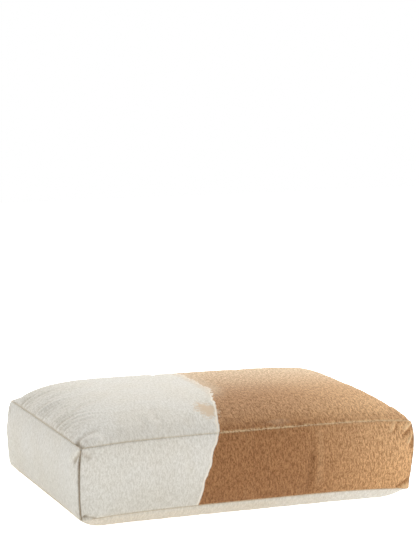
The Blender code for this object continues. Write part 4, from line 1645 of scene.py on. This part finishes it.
class CushionCoverSettings(bpy.types.PropertyGroup):
    """Cloth of the cover."""

    wrinkle_cap: length_setting("Wrinkle cap", "Most that a simulated wrinkle may stand out", 0.010)
    gathering: number_setting("Gathering", "How strongly the cloth gathers at the seams", 1.0)
    crinkle_depth: length_setting("Crinkle depth", "Depth of the cloth's crinkle", 0.0016)
    natural: colour_setting("Natural", "Undyed cotton", (0.795, 0.778, 0.728))
    natural_warm: colour_setting("Natural, warm", "Undyed cotton where it is creamier", (0.780, 0.752, 0.684))
    # The dark and light dye are blended by a lightness that holds painted light; the pale dye colour is
    # painted sheen on the top
    dye_dark: colour_setting("Dye, dark", "Dyed cotton at the dye's edge", (0.408, 0.198, 0.082))
    dye_light: colour_setting("Dye, light", "Dyed cotton at the far end", (0.840, 0.508, 0.247))
    dye_pale_sheen: colour_setting("Dye, pale", "Dyed cotton at the back of the top", (0.970, 0.790, 0.570))
    # Brushed-out dye, and also the colour of the painted highlight by the front seam
    brushed: colour_setting("Brushed", "Where the dye was brushed out thin", (0.640, 0.510, 0.370))
    edge_line: colour_setting("Edge line", "Pale line along the dye's edge", (0.870, 0.800, 0.690))
    # Rubbed cloth at the seams, and also the colour of the painted highlights on ridges
    seam_pale_and_highlight: colour_setting("Seam", "Rubbed cloth at the seams of the dyed part", (0.780, 0.565, 0.325))
    thread: colour_setting("Thread", "Sewing thread", (0.740, 0.620, 0.430))
    thread_dark: colour_setting("Thread, dark", "Sewing thread in its darker places", (0.520, 0.400, 0.250))


class CushionZipSettings(bpy.types.PropertyGroup):
    """Zip of the cover."""

    brass: colour_setting("Brass", "Slider, pull and stops", (0.78, 0.60, 0.30))


class CushionStageSettings(bpy.types.PropertyGroup):
    """Camera, floor and lights."""

    lens: bpy.props.FloatProperty(
        name="Lens", description="Focal length", default=131.15, subtype="DISTANCE_CAMERA"
    )
    azimuth: angle_setting("Azimuth", "Camera's direction round the cushion", -21.21)
    elevation: angle_setting("Elevation", "Camera's height as an angle", 12.95)
    pan: angle_setting("Pan", "Turn of the view to the side", -0.114)
    tilt: angle_setting("Tilt", "Turn of the view upward", -4.874)
    distance: length_setting("Distance", "Camera's distance from the cushion's middle", 5.957)
    aim_height: length_setting("Aim height", "Height of the point that the distance is measured from", 0.13)
    surround: number_setting("Surround", "Brightness of the surround", 0.55)
    floor_glow: number_setting("Floor glow", "How bright the floor looks", 1.0)
    floor_bounce: number_setting("Floor bounce", "Light that the floor gives to the cushion", 0.58)
    over_power: power_setting("Over", "Light over the cushion", 45.0)
    right_power: power_setting("Right", "Light from the right", 32.0)
    left_power: power_setting("Left", "Light from the left", 12.0)


# ---------------------------------------------------------------- operators and panel


class CUSHION_OT_cover(bpy.types.Operator):
    """Makes the seven panels of the cover"""

    bl_idname = "cushion.cover"
    bl_label = "Cover"

    def execute(self, context):
        make_cover(context.scene.cushion_cover)
        return {"FINISHED"}


class CUSHION_OT_stitching(bpy.types.Operator):
    """Makes the stitches along the seams"""

    bl_idname = "cushion.stitching"
    bl_label = "Stitching"

    def execute(self, context):
        make_stitching()
        return {"FINISHED"}


class CUSHION_OT_zip(bpy.types.Operator):
    """Makes the zip's coils, tapes and topstitching"""

    bl_idname = "cushion.zip"
    bl_label = "Zip"

    def execute(self, context):
        make_zip()
        return {"FINISHED"}


class CUSHION_OT_label(bpy.types.Operator):
    """Makes the blank label"""

    bl_idname = "cushion.label"
    bl_label = "Label"

    def execute(self, context):
        make_label()
        return {"FINISHED"}


class CUSHION_OT_pad(bpy.types.Operator):
    """Makes the pad's case, wadding and foam"""

    bl_idname = "cushion.pad"
    bl_label = "Pad"

    def execute(self, context):
        make_case()
        make_filling()
        return {"FINISHED"}


class CUSHION_OT_stage(bpy.types.Operator):
    """Makes the floor, the lights and the camera"""

    bl_idname = "cushion.stage"
    bl_label = "Stage"

    def execute(self, context):
        settings = context.scene.cushion_stage
        make_floor()
        make_lights(settings)
        make_camera(settings)
        context.scene.view_settings.view_transform = "Standard"
        return {"FINISHED"}


OPERATORS = (
    CUSHION_OT_pad,
    CUSHION_OT_cover,
    CUSHION_OT_stitching,
    CUSHION_OT_zip,
    CUSHION_OT_label,
    CUSHION_OT_stage,
)


class CUSHION_PT_panel(bpy.types.Panel):
    """Lists the steps that build the cushion"""

    bl_label = "Floor cushion"
    bl_space_type = "VIEW_3D"
    bl_region_type = "UI"
    bl_category = "Cushion"

    def draw(self, context):
        for operator in OPERATORS:
            self.layout.operator(operator.bl_idname)
        for settings in (context.scene.cushion_cover, context.scene.cushion_zip, context.scene.cushion_stage):
            for name in settings.__annotations__:
                self.layout.prop(settings, name)


SETTINGS = {
    "cushion_cover": CushionCoverSettings,
    "cushion_zip": CushionZipSettings,
    "cushion_stage": CushionStageSettings,
}


def register():
    """Adds the settings, the operators and the panel."""
    for kind in (*SETTINGS.values(), *OPERATORS, CUSHION_PT_panel):
        bpy.utils.register_class(kind)
    for name, kind in SETTINGS.items():
        setattr(bpy.types.Scene, name, bpy.props.PointerProperty(type=kind))


def unregister():
    """Takes them away again, in the opposite order."""
    for name in SETTINGS:
        delattr(bpy.types.Scene, name)
    for kind in (CUSHION_PT_panel, *reversed(OPERATORS), *SETTINGS.values()):
        bpy.utils.unregister_class(kind)


def main():
    """Builds the cushion and its stage."""
    register()
    for step in ("pad", "cover", "stitching", "zip", "label", "stage"):
        getattr(bpy.ops.cushion, step)()


if __name__ == "__main__":
    main()
